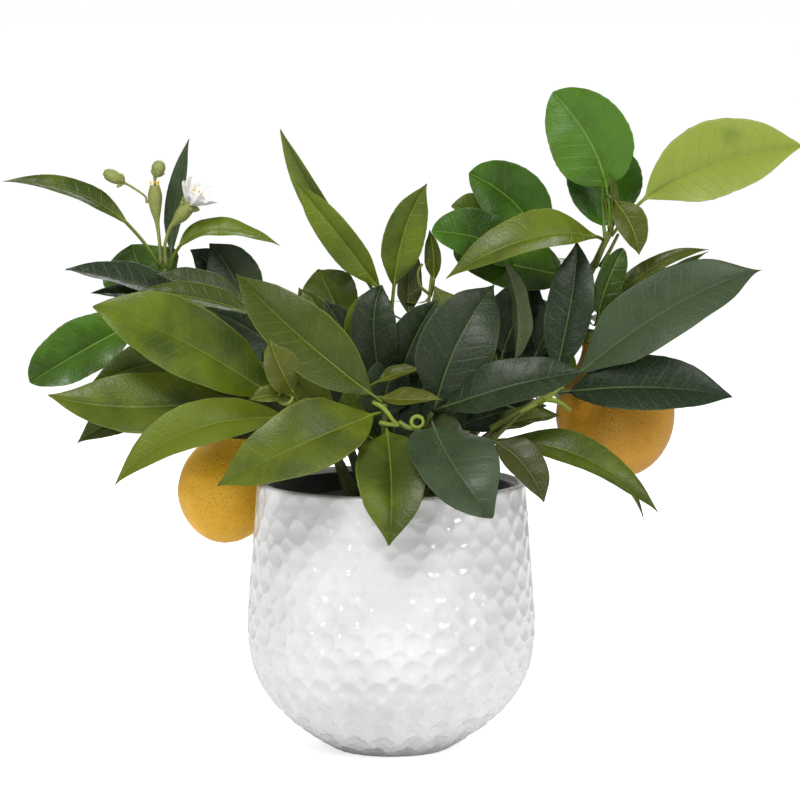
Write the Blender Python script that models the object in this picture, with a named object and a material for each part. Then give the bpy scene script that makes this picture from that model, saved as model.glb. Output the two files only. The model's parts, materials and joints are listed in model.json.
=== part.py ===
"""A potted lemon plant: a round pot with its liner and soil, sprigs of leaves, two fruits and a blossom.

Units are metres and +Z is up. The origin is the centre of the pot's base, and the front faces -Y.
Points on the plant are given in millimetres as (x, y, height above the pot's rim), for a mouth of
PLANT_MOUTH; place() carries them out or in when the pot's mouth has another radius.
"""
import math

import bmesh
import bpy
from mathutils import Matrix, Vector

# ---------------------------------------------------------------- driving dimensions
MM = 0.001
GAP = 0.0003                 # between pieces that touch

POT_HEIGHT = 0.1215
RIM_RADIUS = 0.0603
BELLY_RADIUS = 0.0648
BELLY_HEIGHT = 0.061
FOOT_RADIUS = 0.025
POT_WALL = 0.0042
POT_FLOOR = 0.006
LOWER_ROUND = 2.9            # power of the curve from the foot up to the belly
UPPER_ROUND = 1.1            # power of the curve from the belly up to the rim

LINER_WALL = 0.0012
LINER_CLEARANCE = 0.0012     # between the liner and the pot's wall
LINER_DROP = 0.0022          # rim of the liner below the rim of the pot

SOIL_DROP = 0.011            # edge of the soil below the rim of the pot
SOIL_CROWN = 0.005           # rise of the soil's middle above its edge

STEM_FOOT_RADIUS = 0.0023
STEM_TIP_RADIUS = 0.0013
ROOT_DEPTH = 0.022           # how deep a stem stands in the soil

LEAF_THICKNESS = 0.0008
PETIOLE_RADIUS = 0.0008
LEAF_CLEARANCE = 0.0015      # between the pot's wall and a leaf that hangs beside it

FRUIT_RIGHT_RADIUS = 0.027
FRUIT_RIGHT_LENGTH = 0.066
FRUIT_LEFT_RADIUS = 0.0235
FRUIT_LEFT_LENGTH = 0.060
FRUIT_CLEARANCE = 0.0015     # between the pot's wall and the fruit that hangs beside it
FRUIT_FRONT = -0.005         # the plane that the right fruit's front reaches, behind the leaves

PETAL_LENGTH = 0.011
PETAL_WALL = 0.0006

PLANT_MOUTH = 0.0603         # the mouth radius that the plant's points are given for
POT_SEGMENTS = 40
FRUIT_SEGMENTS = 24
STEM_SIDES = 8

# Each finish: base colour and roughness.
FINISHES = {
    "white_glaze": ((0.86, 0.86, 0.86), 0.15),
    "black_plastic": ((0.012, 0.012, 0.012), 0.5),
    "dark_soil": ((0.02, 0.017, 0.012), 0.95),
    "stem_green": ((0.13, 0.14, 0.04), 0.6),
    "leaf_olive": ((0.10, 0.17, 0.03), 0.42),
    "leaf_dark": ((0.03, 0.055, 0.03), 0.48),
    "leaf_bright": ((0.06, 0.19, 0.03), 0.34),
    "leaf_pale": ((0.30, 0.40, 0.09), 0.5),
    "lemon_peel": ((0.62, 0.30, 0.03), 0.5),
    "bud_green": ((0.28, 0.30, 0.08), 0.55),
    "petal_white": ((0.85, 0.83, 0.82), 0.6),
}

# Each kind of leaf: the powers that widen its blade from the stalk and narrow it to the tip.
LEAF_KINDS = {
    "olive": (0.70, 0.95),
    "dark": (0.62, 0.85),
    "bright": (0.58, 0.55),
    "pale": (1.0, 0.85),
}

# Each stem: where it stands in the soil, then the points that it passes, the last one its tip.
STEMS = {
    "stem_left": ((-16, -10), [(-30, -15, 20), (-51, -20, 44)]),
    "stem_left_back": ((-20, 3), [(-36, 12, 38), (-68, 20, 72), (-104, 18, 74)]),
    "stem_blossom": ((-13, 14), [(-28, 24, 30), (-62, 31, 68), (-104, 25, 93)]),
    "stem_front": ((-4, -16), [(-3, -24, 14), (-3, -32, 38)]),
    "stem_front_dark": ((7, -14), [(13, -20, 14), (18, -28, 34)]),
    "stem_low_right": ((17, -9), [(30, -19, 10), (44, -30, 22)]),
    "stem_right": ((22, 1), [(45, -4, 22), (77, -12, 44)]),
    "stem_upper_right": ((11, 3), [(30, 9, 22), (72, 12, 56), (90, 8, 94), (98, 5, 112)]),
    "stem_mid_right": ((8, 15), [(30, 24, 48), (55, 28, 80), (67, 26, 102)]),
    "stem_centre": ((-4, 3), [(-2, 5, 30), (-1, 5, 81)]),
    "stem_fruit_right": ((20, 13), [(48, 22, 32), (80, 26, 64), (95, 25, 79)]),
    "stem_back_left": ((-6, 24), [(-20, 42, 22), (-38, 60, 46)]),
    "stem_back_right": ((8, 26), [(22, 46, 26), (40, 64, 50)]),
}

# Each leaf: its kind, its stem and how far along it, the middle of its run, its tip, its width,
# the share of its run that is stalk, and the way that its upper face looks.
LEAVES = {
    "leaf_left_upper": ("olive", "stem_left", 0.82, (-96, -30, 67), (-132, -28, 81),
                        34, 0.06, (-0.2, -0.85, 0.5)),
    "leaf_left_long": ("olive", "stem_left", 1.0, (-108, -24, 36), (-153, -20, 41),
                       32, 0.07, (0, -0.8, 0.6)),
    "leaf_left_low": ("olive", "stem_left", 0.7, (-87, -41, 29), (-122, -40, 3),
                      23, 0.06, (-0.25, -0.8, 0.5)),
    "leaf_front_left": ("olive", "stem_front", 0.9, (-39, -62, 25), (-76, -58, 5),
                        34, 0.06, (-0.1, -0.85, 0.5)),
    "leaf_front_up": ("olive", "stem_front", 1.0, (-39, -38, 68), (-69, -22, 95),
                      29, 0.06, (0.15, -0.95, 0.25)),
    "leaf_front_hanging": ("olive", "stem_front", 0.8, (1, -66, 8), (-1, -77, -19),
                           31, 0.08, (0, -0.8, 0.6)),
    "leaf_front_broad": ("dark", "stem_front_dark", 0.9, (28, -72, 14), (44, -82, -6),
                         38, 0.08, (0.15, -0.8, 0.55)),
    "leaf_dark_right": ("dark", "stem_front_dark", 1.0, (53, -44, 48), (85, -40, 53),
                        25, 0.05, (0.1, -0.75, 0.65)),
    "leaf_dark_up": ("dark", "stem_front_dark", 0.95, (30, -30, 64), (46, -16, 90),
                     34, 0.06, (0.1, -0.97, 0.15)),
    "leaf_centre_dark": ("dark", "stem_centre", 0.55, (-8, -12, 69), (-4, -6, 89),
                         21, 0.1, (0, -0.97, 0.2)),
    "leaf_right_up": ("dark", "stem_right", 1.0, (123, -22, 79), (166, -8, 96),
                      32, 0.05, (0, -0.85, 0.5)),
    "leaf_right": ("dark", "stem_right", 0.94, (114, -26, 45), (152, -20, 40),
                   28, 0.06, (0, -0.85, 0.55)),
    "leaf_right_back": ("dark", "stem_right", 0.9, (81, -10, 80), (83, -2, 108),
                        21, 0.08, (-0.1, -0.97, 0.15)),
    "leaf_low_right": ("olive", "stem_low_right", 1.0, (84, -44, 16), (118, -42, -9),
                       20, 0.06, (0, -0.6, 0.8)),
    "leaf_top_round": ("bright", "stem_upper_right", 1.0, (93, 0, 142), (72, -6, 175),
                       37, 0.33, (-0.1, -0.95, 0.25)),
    "leaf_top_behind": ("bright", "stem_upper_right", 0.94, (95, 15, 132), (96, 17, 153),
                        35, 0.1, (0.1, -0.95, 0.2)),
    "leaf_top_right": ("pale", "stem_upper_right", 0.97, (131, 0, 138), (183, -4, 151),
                       36, 0.26, (0.05, -0.9, 0.4)),
    "leaf_arching": ("olive", "stem_upper_right", 0.92, (62, -14, 111), (24, -12, 92),
                     25, 0.05, (0, -0.65, 0.75)),
    "leaf_mid_up": ("bright", "stem_mid_right", 1.0, (57, 19, 123), (35, 14, 138),
                    30, 0.1, (-0.2, -0.9, 0.35)),
    "leaf_mid_left": ("bright", "stem_mid_right", 0.88, (42, 4, 108), (18, -5, 113),
                      25, 0.1, (0.1, -0.9, 0.4)),
    "leaf_tall_left": ("olive", "stem_centre", 1.0, (-23, -2, 110), (-43, 0, 135),
                       16, 0.08, (-0.35, -0.9, 0.1)),
    "leaf_tall_back": ("pale", "stem_centre", 0.97, (-29, 10, 116), (-50, 8, 158),
                       13, 0.12, (-0.6, -0.75, 0.1)),
    "leaf_tall_right": ("olive", "stem_centre", 0.92, (5, 0, 108), (16, -2, 134),
                        19, 0.18, (0.2, -0.95, 0.1)),
    "leaf_blossom_left": ("olive", "stem_blossom", 1.0, (-134, 22, 125), (-176, 20, 134),
                          13, 0.28, (0, -0.6, 0.8)),
    "leaf_blossom_up": ("dark", "stem_blossom", 0.97, (-98, 31, 122), (-92, 30, 153),
                        9, 0.14, (-0.3, -0.95, 0.1)),
    "leaf_blossom_right": ("olive", "stem_blossom", 0.98, (-84, 20, 112), (-50, 18, 105),
                           13, 0.2, (0, -0.6, 0.8)),
    "leaf_far_left": ("bright", "stem_left_back", 1.0, (-134, 11, 62), (-163, 4, 44),
                      27, 0.2, (0.1, -0.9, 0.4)),
    "leaf_left_round": ("bright", "stem_left_back", 0.97, (-113, 37, 89), (-119, 39, 104),
                        37, 0.1, (0, -0.95, 0.3)),
    "leaf_left_dark": ("dark", "stem_left_back", 0.78, (-116, 11, 88), (-147, 8, 95),
                       20, 0.06, (0, -0.5, 0.85)),
    "leaf_centre_back": ("olive", "stem_centre", 0.5, (-26, 17, 78), (-33, 18, 94),
                         25, 0.3, (-0.1, -0.97, 0.2)),
    "leaf_fruit_right": ("olive", "stem_fruit_right", 1.0, (120, 19, 88), (143, 13, 103),
                         14, 0.1, (-0.5, -0.3, 0.8)),
    "leaf_back_left": ("olive", "stem_back_left", 1.0, (-46, 74, 56), (-62, 83, 66),
                       27, 0.1, (-0.3, 0.85, 0.4)),
    "leaf_back_right": ("dark", "stem_back_right", 1.0, (56, 76, 64), (78, 83, 72),
                        26, 0.1, (0.3, 0.85, 0.45)),
}

# Pieces of the blossom sprig: points in millimetres from the tip of stem_blossom, each with a radius.
BLOSSOM_PARTS = {
    "spent_blossom": [(-0.5, -2, 3, 0.9), (-1.3, -2.5, 14, 0.8), (-2.2, -3, 22, 1.1), (-2.8, -3, 28, 2.5),
                      (-3.1, -3, 34, 3.3), (-3.2, -3, 39, 2.2)],
    "bud_left": [(-7.0, -3, 31, 0.5), (-7.6, -3.2, 34, 0.5), (-13, -4, 38, 0.55), (-16.6, -4, 40, 0.7),
                 (-18.5, -4, 41, 2.0), (-21.5, -4, 42.8, 3.0), (-24.5, -4, 44.2, 2.6), (-26.3, -4, 44.8, 1.0)],
    "bud_top": [(-3.3, -3, 39.6, 0.6), (-3.0, -3, 42.5, 0.9), (-2.2, -3, 44.5, 2.4), (-1.4, -3, 47, 3.2),
                (-0.8, -3, 49.3, 2.2), (-0.6, -3, 50.2, 0.8)],
    "blossom_calyx": [(1.6, -3, 2.5, 0.8), (1.4, -5, 12, 0.75), (3.6, -6, 19.5, 0.8), (5.6, -6, 22, 1.4),
                      (8.5, -6, 25, 3.0), (11, -6, 28.2, 3.4), (12.8, -6, 30.6, 3.0)],
}
BLOSSOM_AXIS = Vector((0.45, -0.25, 0.85)).normalized()


# ---------------------------------------------------------------- helpers
def clear_scene():
    for obj in list(bpy.data.objects):
        bpy.data.objects.remove(obj, do_unlink=True)


def finish(name):
    """The Principled material of one finish, made the first time that it is asked for."""
    material = bpy.data.materials.get(name)
    if material is None:
        color, roughness = FINISHES[name]
        material = bpy.data.materials.new(name)
        material.use_nodes = True
        shader = material.node_tree.nodes["Principled BSDF"]
        shader.inputs["Base Color"].default_value = (*color, 1.0)
        shader.inputs["Roughness"].default_value = roughness
    return material


def add_object(name, points, faces, material, smooth=True):
    """Make a mesh object from points and faces, with every face pointing out."""
    bm = bmesh.new()
    verts = [bm.verts.new(point) for point in points]
    for face in faces:
        bm.faces.new([verts[index] for index in face])
    if bm.calc_volume(signed=True) < 0:
        bmesh.ops.reverse_faces(bm, faces=bm.faces)
    mesh = bpy.data.meshes.new(name)
    bm.to_mesh(mesh)
    bm.free()
    mesh.materials.append(material)
    if smooth:
        mesh.shade_smooth()
    obj = bpy.data.objects.new(name, mesh)
    bpy.context.scene.collection.objects.link(obj)
    return obj


def ring_faces(rings, first, last, mirrored=False):
    """Triangles over rings of equal size between two end points.

    The diagonals all turn one way, or with mirrored every other side's turns back, so that a thin
    blade's two faces bend along the same lines and can't pass through each other.
    """
    count = len(rings[0])
    faces = []
    for side in range(count):
        after = (side + 1) % count
        faces.append((first, rings[0][after], rings[0][side]))
        for low, high in zip(rings, rings[1:]):
            if mirrored and side % 2 == 0:
                faces.append((low[side], low[after], high[side]))
                faces.append((low[after], high[after], high[side]))
            else:
                faces.append((low[side], low[after], high[after]))
                faces.append((low[side], high[after], high[side]))
        faces.append((last, rings[-1][side], rings[-1][after]))
    return faces


def turned(name, profile, segments, material, centre=Vector(), axis=Vector((0, 0, 1))):
    """Turn a profile of (radius, height) about an axis; its first and last points lie on the axis."""
    turn = Matrix.Translation(centre) @ axis.to_track_quat("Z", "Y").to_matrix().to_4x4()
    points = [turn @ Vector((0, 0, profile[0][1]))]
    rings = []
    for radius, height in profile[1:-1]:
        rings.append(list(range(len(points), len(points) + segments)))
        for step in range(segments):
            angle = math.tau * step / segments
            points.append(turn @ Vector((radius * math.cos(angle), radius * math.sin(angle), height)))
    points.append(turn @ Vector((0, 0, profile[-1][1])))
    return add_object(name, points, ring_faces(rings, 0, len(points) - 1), material)


def smooth_route(points, per_span):
    """Points on one smooth curve through the given ones, per_span of them to each gap."""
    route = []
    for index in range(len(points) - 1):
        before = points[max(index - 1, 0)]
        start, end = points[index], points[index + 1]
        after = points[min(index + 2, len(points) - 1)]
        for step in range(per_span):
            t = step / per_span
            route.append(0.5 * (2 * start + (end - before) * t
                                + (2 * before - 5 * start + 4 * end - after) * t ** 2
                                + (3 * start - before - 3 * end + after) * t ** 3))
    return route + [points[-1].copy()]


def tube(name, route, radii, sides, material):
    """A closed tube along a route, with its own radius at each point and blunt ends."""
    across = Vector((1, 0, 0))
    points = [route[0].copy()]
    rings = []
    for index, centre in enumerate(route):
        ahead = (route[min(index + 1, len(route) - 1)] - route[max(index - 1, 0)]).normalized()
        across = (across - ahead * across.dot(ahead)).normalized()
        other = ahead.cross(across)
        rings.append(list(range(len(points), len(points) + sides)))
        for step in range(sides):
            angle = math.tau * step / sides
            points.append(centre + radii[index] * (across * math.cos(angle) + other * math.sin(angle)))
    points.append(route[-1].copy())
    return add_object(name, points, ring_faces(rings, 0, len(points) - 1), material)


# ---------------------------------------------------------------- pot, liner and soil
def outer_radius(height):
    """Radius of the pot's outer wall at a height."""
    if height < BELLY_HEIGHT:
        share = (BELLY_HEIGHT - height) / BELLY_HEIGHT
        return BELLY_RADIUS - (BELLY_RADIUS - FOOT_RADIUS) * share ** LOWER_ROUND
    share = min((height - BELLY_HEIGHT) / (POT_HEIGHT - BELLY_HEIGHT), 1.0)
    return BELLY_RADIUS - (BELLY_RADIUS - RIM_RADIUS) * share ** UPPER_ROUND


def add_pot():
    lip = POT_WALL / 2
    lower = [BELLY_HEIGHT * (step / 8) ** 1.7 for step in range(9)]
    upper = [BELLY_HEIGHT + (POT_HEIGHT - lip - BELLY_HEIGHT) * step / 4 for step in range(1, 5)]
    profile = [(0, 0)]
    profile += [(outer_radius(height), height) for height in lower + upper]
    for angle in (45, 90, 135):
        turn = math.radians(angle)
        profile.append((RIM_RADIUS - lip + lip * math.cos(turn), POT_HEIGHT - lip + lip * math.sin(turn)))
    inner = [POT_HEIGHT - lip - (POT_HEIGHT - lip - BELLY_HEIGHT) * step / 3 for step in range(4)]
    inner += [POT_FLOOR + (BELLY_HEIGHT - POT_FLOOR) * (1 - step / 5) ** 1.6 for step in range(1, 6)]
    profile += [(outer_radius(height) - POT_WALL, height) for height in inner]
    profile.append((0, POT_FLOOR))
    turned("pot", profile, POT_SEGMENTS, finish("white_glaze"))


LINER_BOTTOM = POT_FLOOR + GAP
LINER_TOP = POT_HEIGHT - LINER_DROP


def liner_radius(height):
    """Outer radius of the liner's straight tapered wall at a height."""
    foot = outer_radius(LINER_BOTTOM) - POT_WALL - LINER_CLEARANCE
    mouth = RIM_RADIUS - POT_WALL - LINER_CLEARANCE
    return foot + (mouth - foot) * (height - LINER_BOTTOM) / (LINER_TOP - LINER_BOTTOM)


def add_liner():
    floor = LINER_BOTTOM + LINER_WALL
    profile = [(0, LINER_BOTTOM), (liner_radius(LINER_BOTTOM), LINER_BOTTOM),
               (liner_radius(LINER_TOP), LINER_TOP), (liner_radius(LINER_TOP) - LINER_WALL, LINER_TOP),
               (liner_radius(floor) - LINER_WALL, floor), (0, floor)]
    turned("liner", profile, POT_SEGMENTS, finish("black_plastic"))


SOIL_BOTTOM = LINER_BOTTOM + LINER_WALL + GAP
SOIL_EDGE = POT_HEIGHT - SOIL_DROP


def soil_height(x, y):
    """Height of the soil's crowned top above a point of the mouth."""
    edge = liner_radius(SOIL_EDGE) - LINER_WALL - GAP
    return SOIL_EDGE + SOIL_CROWN * (1 - min(math.hypot(x, y) / edge, 1.0) ** 2)


def add_soil():
    inset = LINER_WALL + GAP
    edge = liner_radius(SOIL_EDGE) - inset
    profile = [(0, SOIL_BOTTOM), (liner_radius(SOIL_BOTTOM) - inset, SOIL_BOTTOM), (edge, SOIL_EDGE)]
    profile += [(edge * share, soil_height(edge * share, 0)) for share in (0.75, 0.5, 0.25)]
    profile.append((0, soil_height(0, 0)))
    soil = turned("soil", profile, POT_SEGMENTS, finish("dark_soil"))
    cut = soil.modifiers.new("stem sockets", "BOOLEAN")
    cut.operation = "DIFFERENCE"
    cut.object = add_socket_cutter()


def add_socket_cutter():
    """One hidden cutter with a round post for each stem, GAP wider than the stem's foot."""
    radius = STEM_FOOT_RADIUS + GAP
    bm = bmesh.new()
    for root, _ in STEMS.values():
        x, y, _ = place(*root, 0)
        low = soil_height(x, y) - ROOT_DEPTH - GAP
        high = SOIL_EDGE + SOIL_CROWN + STEM_FOOT_RADIUS
        middle = Matrix.Translation((x, y, (low + high) / 2))
        bmesh.ops.create_cone(bm, cap_ends=True, segments=STEM_SIDES, radius1=radius, radius2=radius,
                              depth=high - low, matrix=middle)
    mesh = bpy.data.meshes.new("stem_sockets")
    bm.to_mesh(mesh)
    bm.free()
    cutter = bpy.data.objects.new("stem_sockets", mesh)
    bpy.context.scene.collection.objects.link(cutter)
    cutter.hide_render = True
    cutter.display_type = "WIRE"
    return cutter


# ---------------------------------------------------------------- stems and leaves
def place(x, y, height):
    """A plant point in metres: inside the mouth it spreads with the rim, outside it moves with it."""
    reach = math.hypot(x, y) * MM
    moved = reach * RIM_RADIUS / PLANT_MOUTH
    if reach > PLANT_MOUTH:
        moved = reach + RIM_RADIUS - PLANT_MOUTH
    share = moved / reach if reach else 0.0
    return Vector((x * MM * share, y * MM * share, POT_HEIGHT + height * MM))


def stem_route(name):
    """Points along a stem's middle, from its buried foot to its tip."""
    root, passed = STEMS[name]
    x, y, _ = place(*root, 0)
    ground = soil_height(x, y)
    corners = [Vector((x, y, ground - ROOT_DEPTH)), Vector((x, y, ground + GAP))]
    corners += [place(*point) for point in passed]
    above = smooth_route(corners, 4)[4:]
    return [corners[0]] + above


def stem_radius(share):
    return STEM_FOOT_RADIUS + (STEM_TIP_RADIUS - STEM_FOOT_RADIUS) * share


def add_stem(name):
    route = stem_route(name)
    radii = [stem_radius(index / (len(route) - 1)) for index in range(len(route))]
    tube(name, route, radii, STEM_SIDES, finish("stem_green"))


def stem_point(name, share):
    """A point on a stem above the soil, its direction there and the stem's radius."""
    route = stem_route(name)[1:]
    along = share * (len(route) - 1)
    index = min(int(along), len(route) - 2)
    ahead = route[index + 1] - route[index]
    return route[index] + ahead * (along - index), ahead.normalized(), stem_radius(share)


def leaf_start(stem, share, towards):
    """Where a leaf's stalk meets its stem: just off the stem's skin, on the side of the leaf."""
    point, ahead, radius = stem_point(stem, share)
    out = towards - point
    if share < 1.0:
        out -= ahead * out.dot(ahead)
    return point + out.normalized() * (radius + GAP)


def clear_of_pot(point):
    """Move a point that hangs below the rim out of the pot's wall."""
    reach = math.hypot(point.x, point.y)
    least = outer_radius(point.z) + LEAF_CLEARANCE
    if point.z < POT_HEIGHT + LEAF_CLEARANCE and reach < least:
        point.x *= least / reach
        point.y *= least / reach
    return point


def blade_width(share, rise, fall):
    """Width of a blade as a share of its widest, from 0 at its stalk to 0 at its tip."""
    widest = rise / (rise + fall)
    peak = widest ** rise * (1 - widest) ** fall
    return share ** rise * (1 - share) ** fall / peak


BLADE_RINGS = (0.07, 0.2, 0.36, 0.52, 0.68, 0.83, 0.94)
LEAF_FOLD = 0.28             # how far a blade's edges rise above its midrib, as a share of half its width


def add_leaf(name):
    """One leaf: stalk and blade in one closed loft whose rings are edge, top, edge and underside."""
    kind, stem, at, middle, tip, width, stalk, face = LEAVES[name]
    rise, fall = LEAF_KINDS[kind]
    middle, tip = place(*middle), place(*tip)
    start = leaf_start(stem, at, middle)
    bend = 2 * middle - (start + tip) / 2
    face = Vector(face).normalized()
    shares = [stalk * 0.5, stalk] + [stalk + (1 - stalk) * ring for ring in BLADE_RINGS]
    points = [start]
    rings = []
    for share in shares:
        centre = (1 - share) ** 2 * start + 2 * share * (1 - share) * bend + share ** 2 * tip
        ahead = ((1 - share) * (bend - start) + share * (tip - bend)).normalized()
        across = ahead.cross(face).normalized()
        up = across.cross(ahead)
        blade = max(share - stalk, 0) / (1 - stalk)
        half = max(blade_width(blade, rise, fall) * width * MM / 2, PETIOLE_RADIUS)
        lift = LEAF_FOLD * half
        thick = LEAF_THICKNESS / 2 if half > PETIOLE_RADIUS else PETIOLE_RADIUS
        rings.append(list(range(len(points), len(points) + 4)))
        for point in (centre - across * half + up * lift, centre + up * thick,
                      centre + across * half + up * lift, centre - up * thick):
            points.append(clear_of_pot(point))
    points.append(tip)
    add_object(name, points, ring_faces(rings, 0, len(points) - 1, mirrored=True), finish("leaf_" + kind))


# ---------------------------------------------------------------- fruits
# A fruit's outline from its blossom end to its neck: (share of radius, share of length).
FRUIT_OUTLINE = [(0, 0), (0.24, 0.015), (0.52, 0.07), (0.79, 0.175), (0.96, 0.31), (1.0, 0.43), (0.96, 0.55),
                 (0.83, 0.66), (0.65, 0.74), (0.46, 0.81), (0.31, 0.87), (0.21, 0.93), (0.15, 0.985), (0, 1)]
WIDEST = 0.43                # where along its length a fruit is widest


def fruit(name, centre, axis, radius, length):
    """A fruit about its axis, with its widest girth at the centre; gives back the end of its neck."""
    profile = [(radius * across, length * (along - WIDEST)) for across, along in FRUIT_OUTLINE]
    turned(name, profile, FRUIT_SEGMENTS, finish("lemon_peel"), centre, axis)
    return centre + axis * length * (1 - WIDEST)


def fruit_stalk(name, neck, axis, stem, share):
    """The green cap on a fruit's neck and the stalk that carries it from its stem."""
    start = leaf_start(stem, share, neck)
    cap = neck + axis * GAP
    reach = (cap - start).length * 0.4
    first = start + (cap - start).normalized() * reach
    second = cap + axis * reach
    radii = (1.0, 1.1, 1.1, 1.2, 1.8, 2.8, 3.2)
    route = []
    for index in range(len(radii)):
        t = index / (len(radii) - 1)
        route.append((1 - t) ** 3 * start + 3 * t * (1 - t) ** 2 * first
                     + 3 * t ** 2 * (1 - t) * second + t ** 3 * cap)
    tube(name, route, [radius * MM for radius in radii], STEM_SIDES, finish("stem_green"))


def add_fruits():
    axis = Vector((-0.30, 0, 0.954)).normalized()
    centre = place(102, 0, 27)
    centre.y = FRUIT_FRONT + FRUIT_RIGHT_RADIUS
    neck = fruit("lemon_right", centre, axis, FRUIT_RIGHT_RADIUS, FRUIT_RIGHT_LENGTH)
    fruit_stalk("fruit_stalk_right", neck, axis, "stem_fruit_right", 0.75)

    axis = Vector((0.2, -0.05, 0.975)).normalized()
    aside = Vector((-0.86, 0.51, 0)).normalized()
    height = POT_HEIGHT - 0.009
    widest_pot = outer_radius(height - FRUIT_LEFT_RADIUS)
    centre = aside * (widest_pot + FRUIT_CLEARANCE + FRUIT_LEFT_RADIUS) + Vector((0, 0, height))
    neck = fruit("lemon_left", centre, axis, FRUIT_LEFT_RADIUS, FRUIT_LEFT_LENGTH)
    fruit_stalk("fruit_stalk_left", neck, axis, "stem_left_back", 0.42)


# ---------------------------------------------------------------- blossom
def add_blossom():
    tip = stem_point("stem_blossom", 1.0)[0]
    for name, rows in BLOSSOM_PARTS.items():
        route = [tip + Vector(row[:3]) * MM for row in rows]
        tube(name, route, [row[3] * MM for row in rows], STEM_SIDES, finish("bud_green"))
    seat = tip + Vector(BLOSSOM_PARTS["blossom_calyx"][-1][:3]) * MM + BLOSSOM_AXIS * 0.9 * MM
    flare = [(0.26, 0.0), (0.42, 0.3), (0.52, 0.65), (0.56, 1.0)]
    profile = [(0, 0)]
    profile += [(PETAL_LENGTH * across, PETAL_LENGTH * along) for across, along in flare]
    profile += [(PETAL_LENGTH * across - PETAL_WALL, PETAL_LENGTH * along) for across, along in flare[:0:-1]]
    profile.append((0, PETAL_WALL * 2))
    turned("blossom_petals", profile, 10, finish("petal_white"), seat, BLOSSOM_AXIS)


def main():
    clear_scene()
    add_pot()
    add_liner()
    add_soil()
    for name in STEMS:
        add_stem(name)
    for name in LEAVES:
        add_leaf(name)
    add_fruits()
    add_blossom()


main()
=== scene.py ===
# %% [markdown]
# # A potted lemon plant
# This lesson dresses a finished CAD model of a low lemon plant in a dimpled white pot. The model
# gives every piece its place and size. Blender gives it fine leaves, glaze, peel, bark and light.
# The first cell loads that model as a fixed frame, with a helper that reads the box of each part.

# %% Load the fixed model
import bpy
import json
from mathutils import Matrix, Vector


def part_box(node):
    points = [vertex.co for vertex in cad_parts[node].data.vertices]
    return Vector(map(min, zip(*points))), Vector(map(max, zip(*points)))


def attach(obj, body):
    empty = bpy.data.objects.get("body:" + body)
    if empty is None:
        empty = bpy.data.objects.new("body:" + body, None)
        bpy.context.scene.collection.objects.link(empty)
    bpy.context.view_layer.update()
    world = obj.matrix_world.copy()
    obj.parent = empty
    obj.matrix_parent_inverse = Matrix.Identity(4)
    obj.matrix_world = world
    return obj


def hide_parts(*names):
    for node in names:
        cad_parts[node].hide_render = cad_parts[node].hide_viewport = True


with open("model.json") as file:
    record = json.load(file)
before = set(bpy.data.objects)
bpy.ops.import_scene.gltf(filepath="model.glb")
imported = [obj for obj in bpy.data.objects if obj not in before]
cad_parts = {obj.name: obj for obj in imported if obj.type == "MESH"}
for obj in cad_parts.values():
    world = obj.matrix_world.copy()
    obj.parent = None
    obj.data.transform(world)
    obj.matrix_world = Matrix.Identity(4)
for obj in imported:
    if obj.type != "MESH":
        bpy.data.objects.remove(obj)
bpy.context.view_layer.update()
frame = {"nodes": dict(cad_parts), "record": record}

import json
import math
import random

import bmesh
import bpy
import numpy as np
from mathutils import Matrix, Vector, kdtree

MM = 0.001
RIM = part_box("pot")[1].z
SLOT_OF = {row["node"]: row["material_slot"] for row in frame["record"]["subparts"]}

# %% [markdown]
# ## Camera
# A product picture of a table plant is taken from a little above the rim with a long lens, which
# keeps the pot's sides straight. The camera comes first.

# %% Camera
TARGET = Vector((0.0039, 0.0, 0.158))
TILT = math.radians(6.0)
DISTANCE = 1.8
camera_data = bpy.data.cameras.new("camera")
camera_data.lens = 180.0
camera_data.sensor_width = 36.0
camera = bpy.data.objects.new("camera", camera_data)
camera.location = TARGET + DISTANCE * Vector((0.0, -math.cos(TILT), math.sin(TILT)))
camera.rotation_euler = (math.radians(90.0) - TILT, 0.0, 0.0)
bpy.context.scene.collection.objects.link(camera)
bpy.context.scene.camera = camera
print("camera at", [round(value, 3) for value in camera.location])

# %% [markdown]
# ## Helpers for node trees
# Long sums of nodes are hard to read when each node is made and linked by hand. These small helpers
# make one node each and give back its output, so a formula in nodes reads almost like plain maths.


# %% Node helpers
def join(tree, value, socket):
    """Link an output to a socket, or set the socket when the value is a plain number or colour."""
    if isinstance(value, bpy.types.NodeSocket):
        tree.links.new(value, socket)
    else:
        socket.default_value = value


def calc(tree, operation, *values):
    node = tree.nodes.new("ShaderNodeMath")
    node.operation = operation
    for value, socket in zip(values, node.inputs):
        join(tree, value, socket)
    return node.outputs[0]


def times(tree, first, second):
    return calc(tree, "MULTIPLY", first, second)


def plus(tree, first, second):
    return calc(tree, "ADD", first, second)


def minus(tree, first, second):
    return calc(tree, "SUBTRACT", first, second)


def scaled(tree, value, gain, base):
    """A value times its gain, plus a base."""
    return plus(tree, times(tree, value, gain), base)


def fade(tree, value, low, high, start=0.0, end=1.0):
    """A soft step: start below low, end above high, smooth between."""
    node = tree.nodes.new("ShaderNodeMapRange")
    node.interpolation_type = "SMOOTHSTEP"
    for number, socket in zip((value, low, high, start, end), node.inputs):
        join(tree, number, socket)
    return node.outputs[0]


def colour_mix(tree, share, first, second):
    node = tree.nodes.new("ShaderNodeMix")
    node.data_type = "RGBA"
    join(tree, share, node.inputs[0])
    for colour, socket in ((first, node.inputs[6]), (second, node.inputs[7])):
        join(tree, colour if isinstance(colour, bpy.types.NodeSocket) else (*colour, 1.0), socket)
    return node.outputs[2]


# %% More node helpers
def noise(tree, vector, scale, detail=3.0):
    node = tree.nodes.new("ShaderNodeTexNoise")
    join(tree, vector, node.inputs["Vector"])
    join(tree, scale, node.inputs["Scale"])
    node.inputs["Detail"].default_value = detail
    return node.outputs["Fac"]


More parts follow.
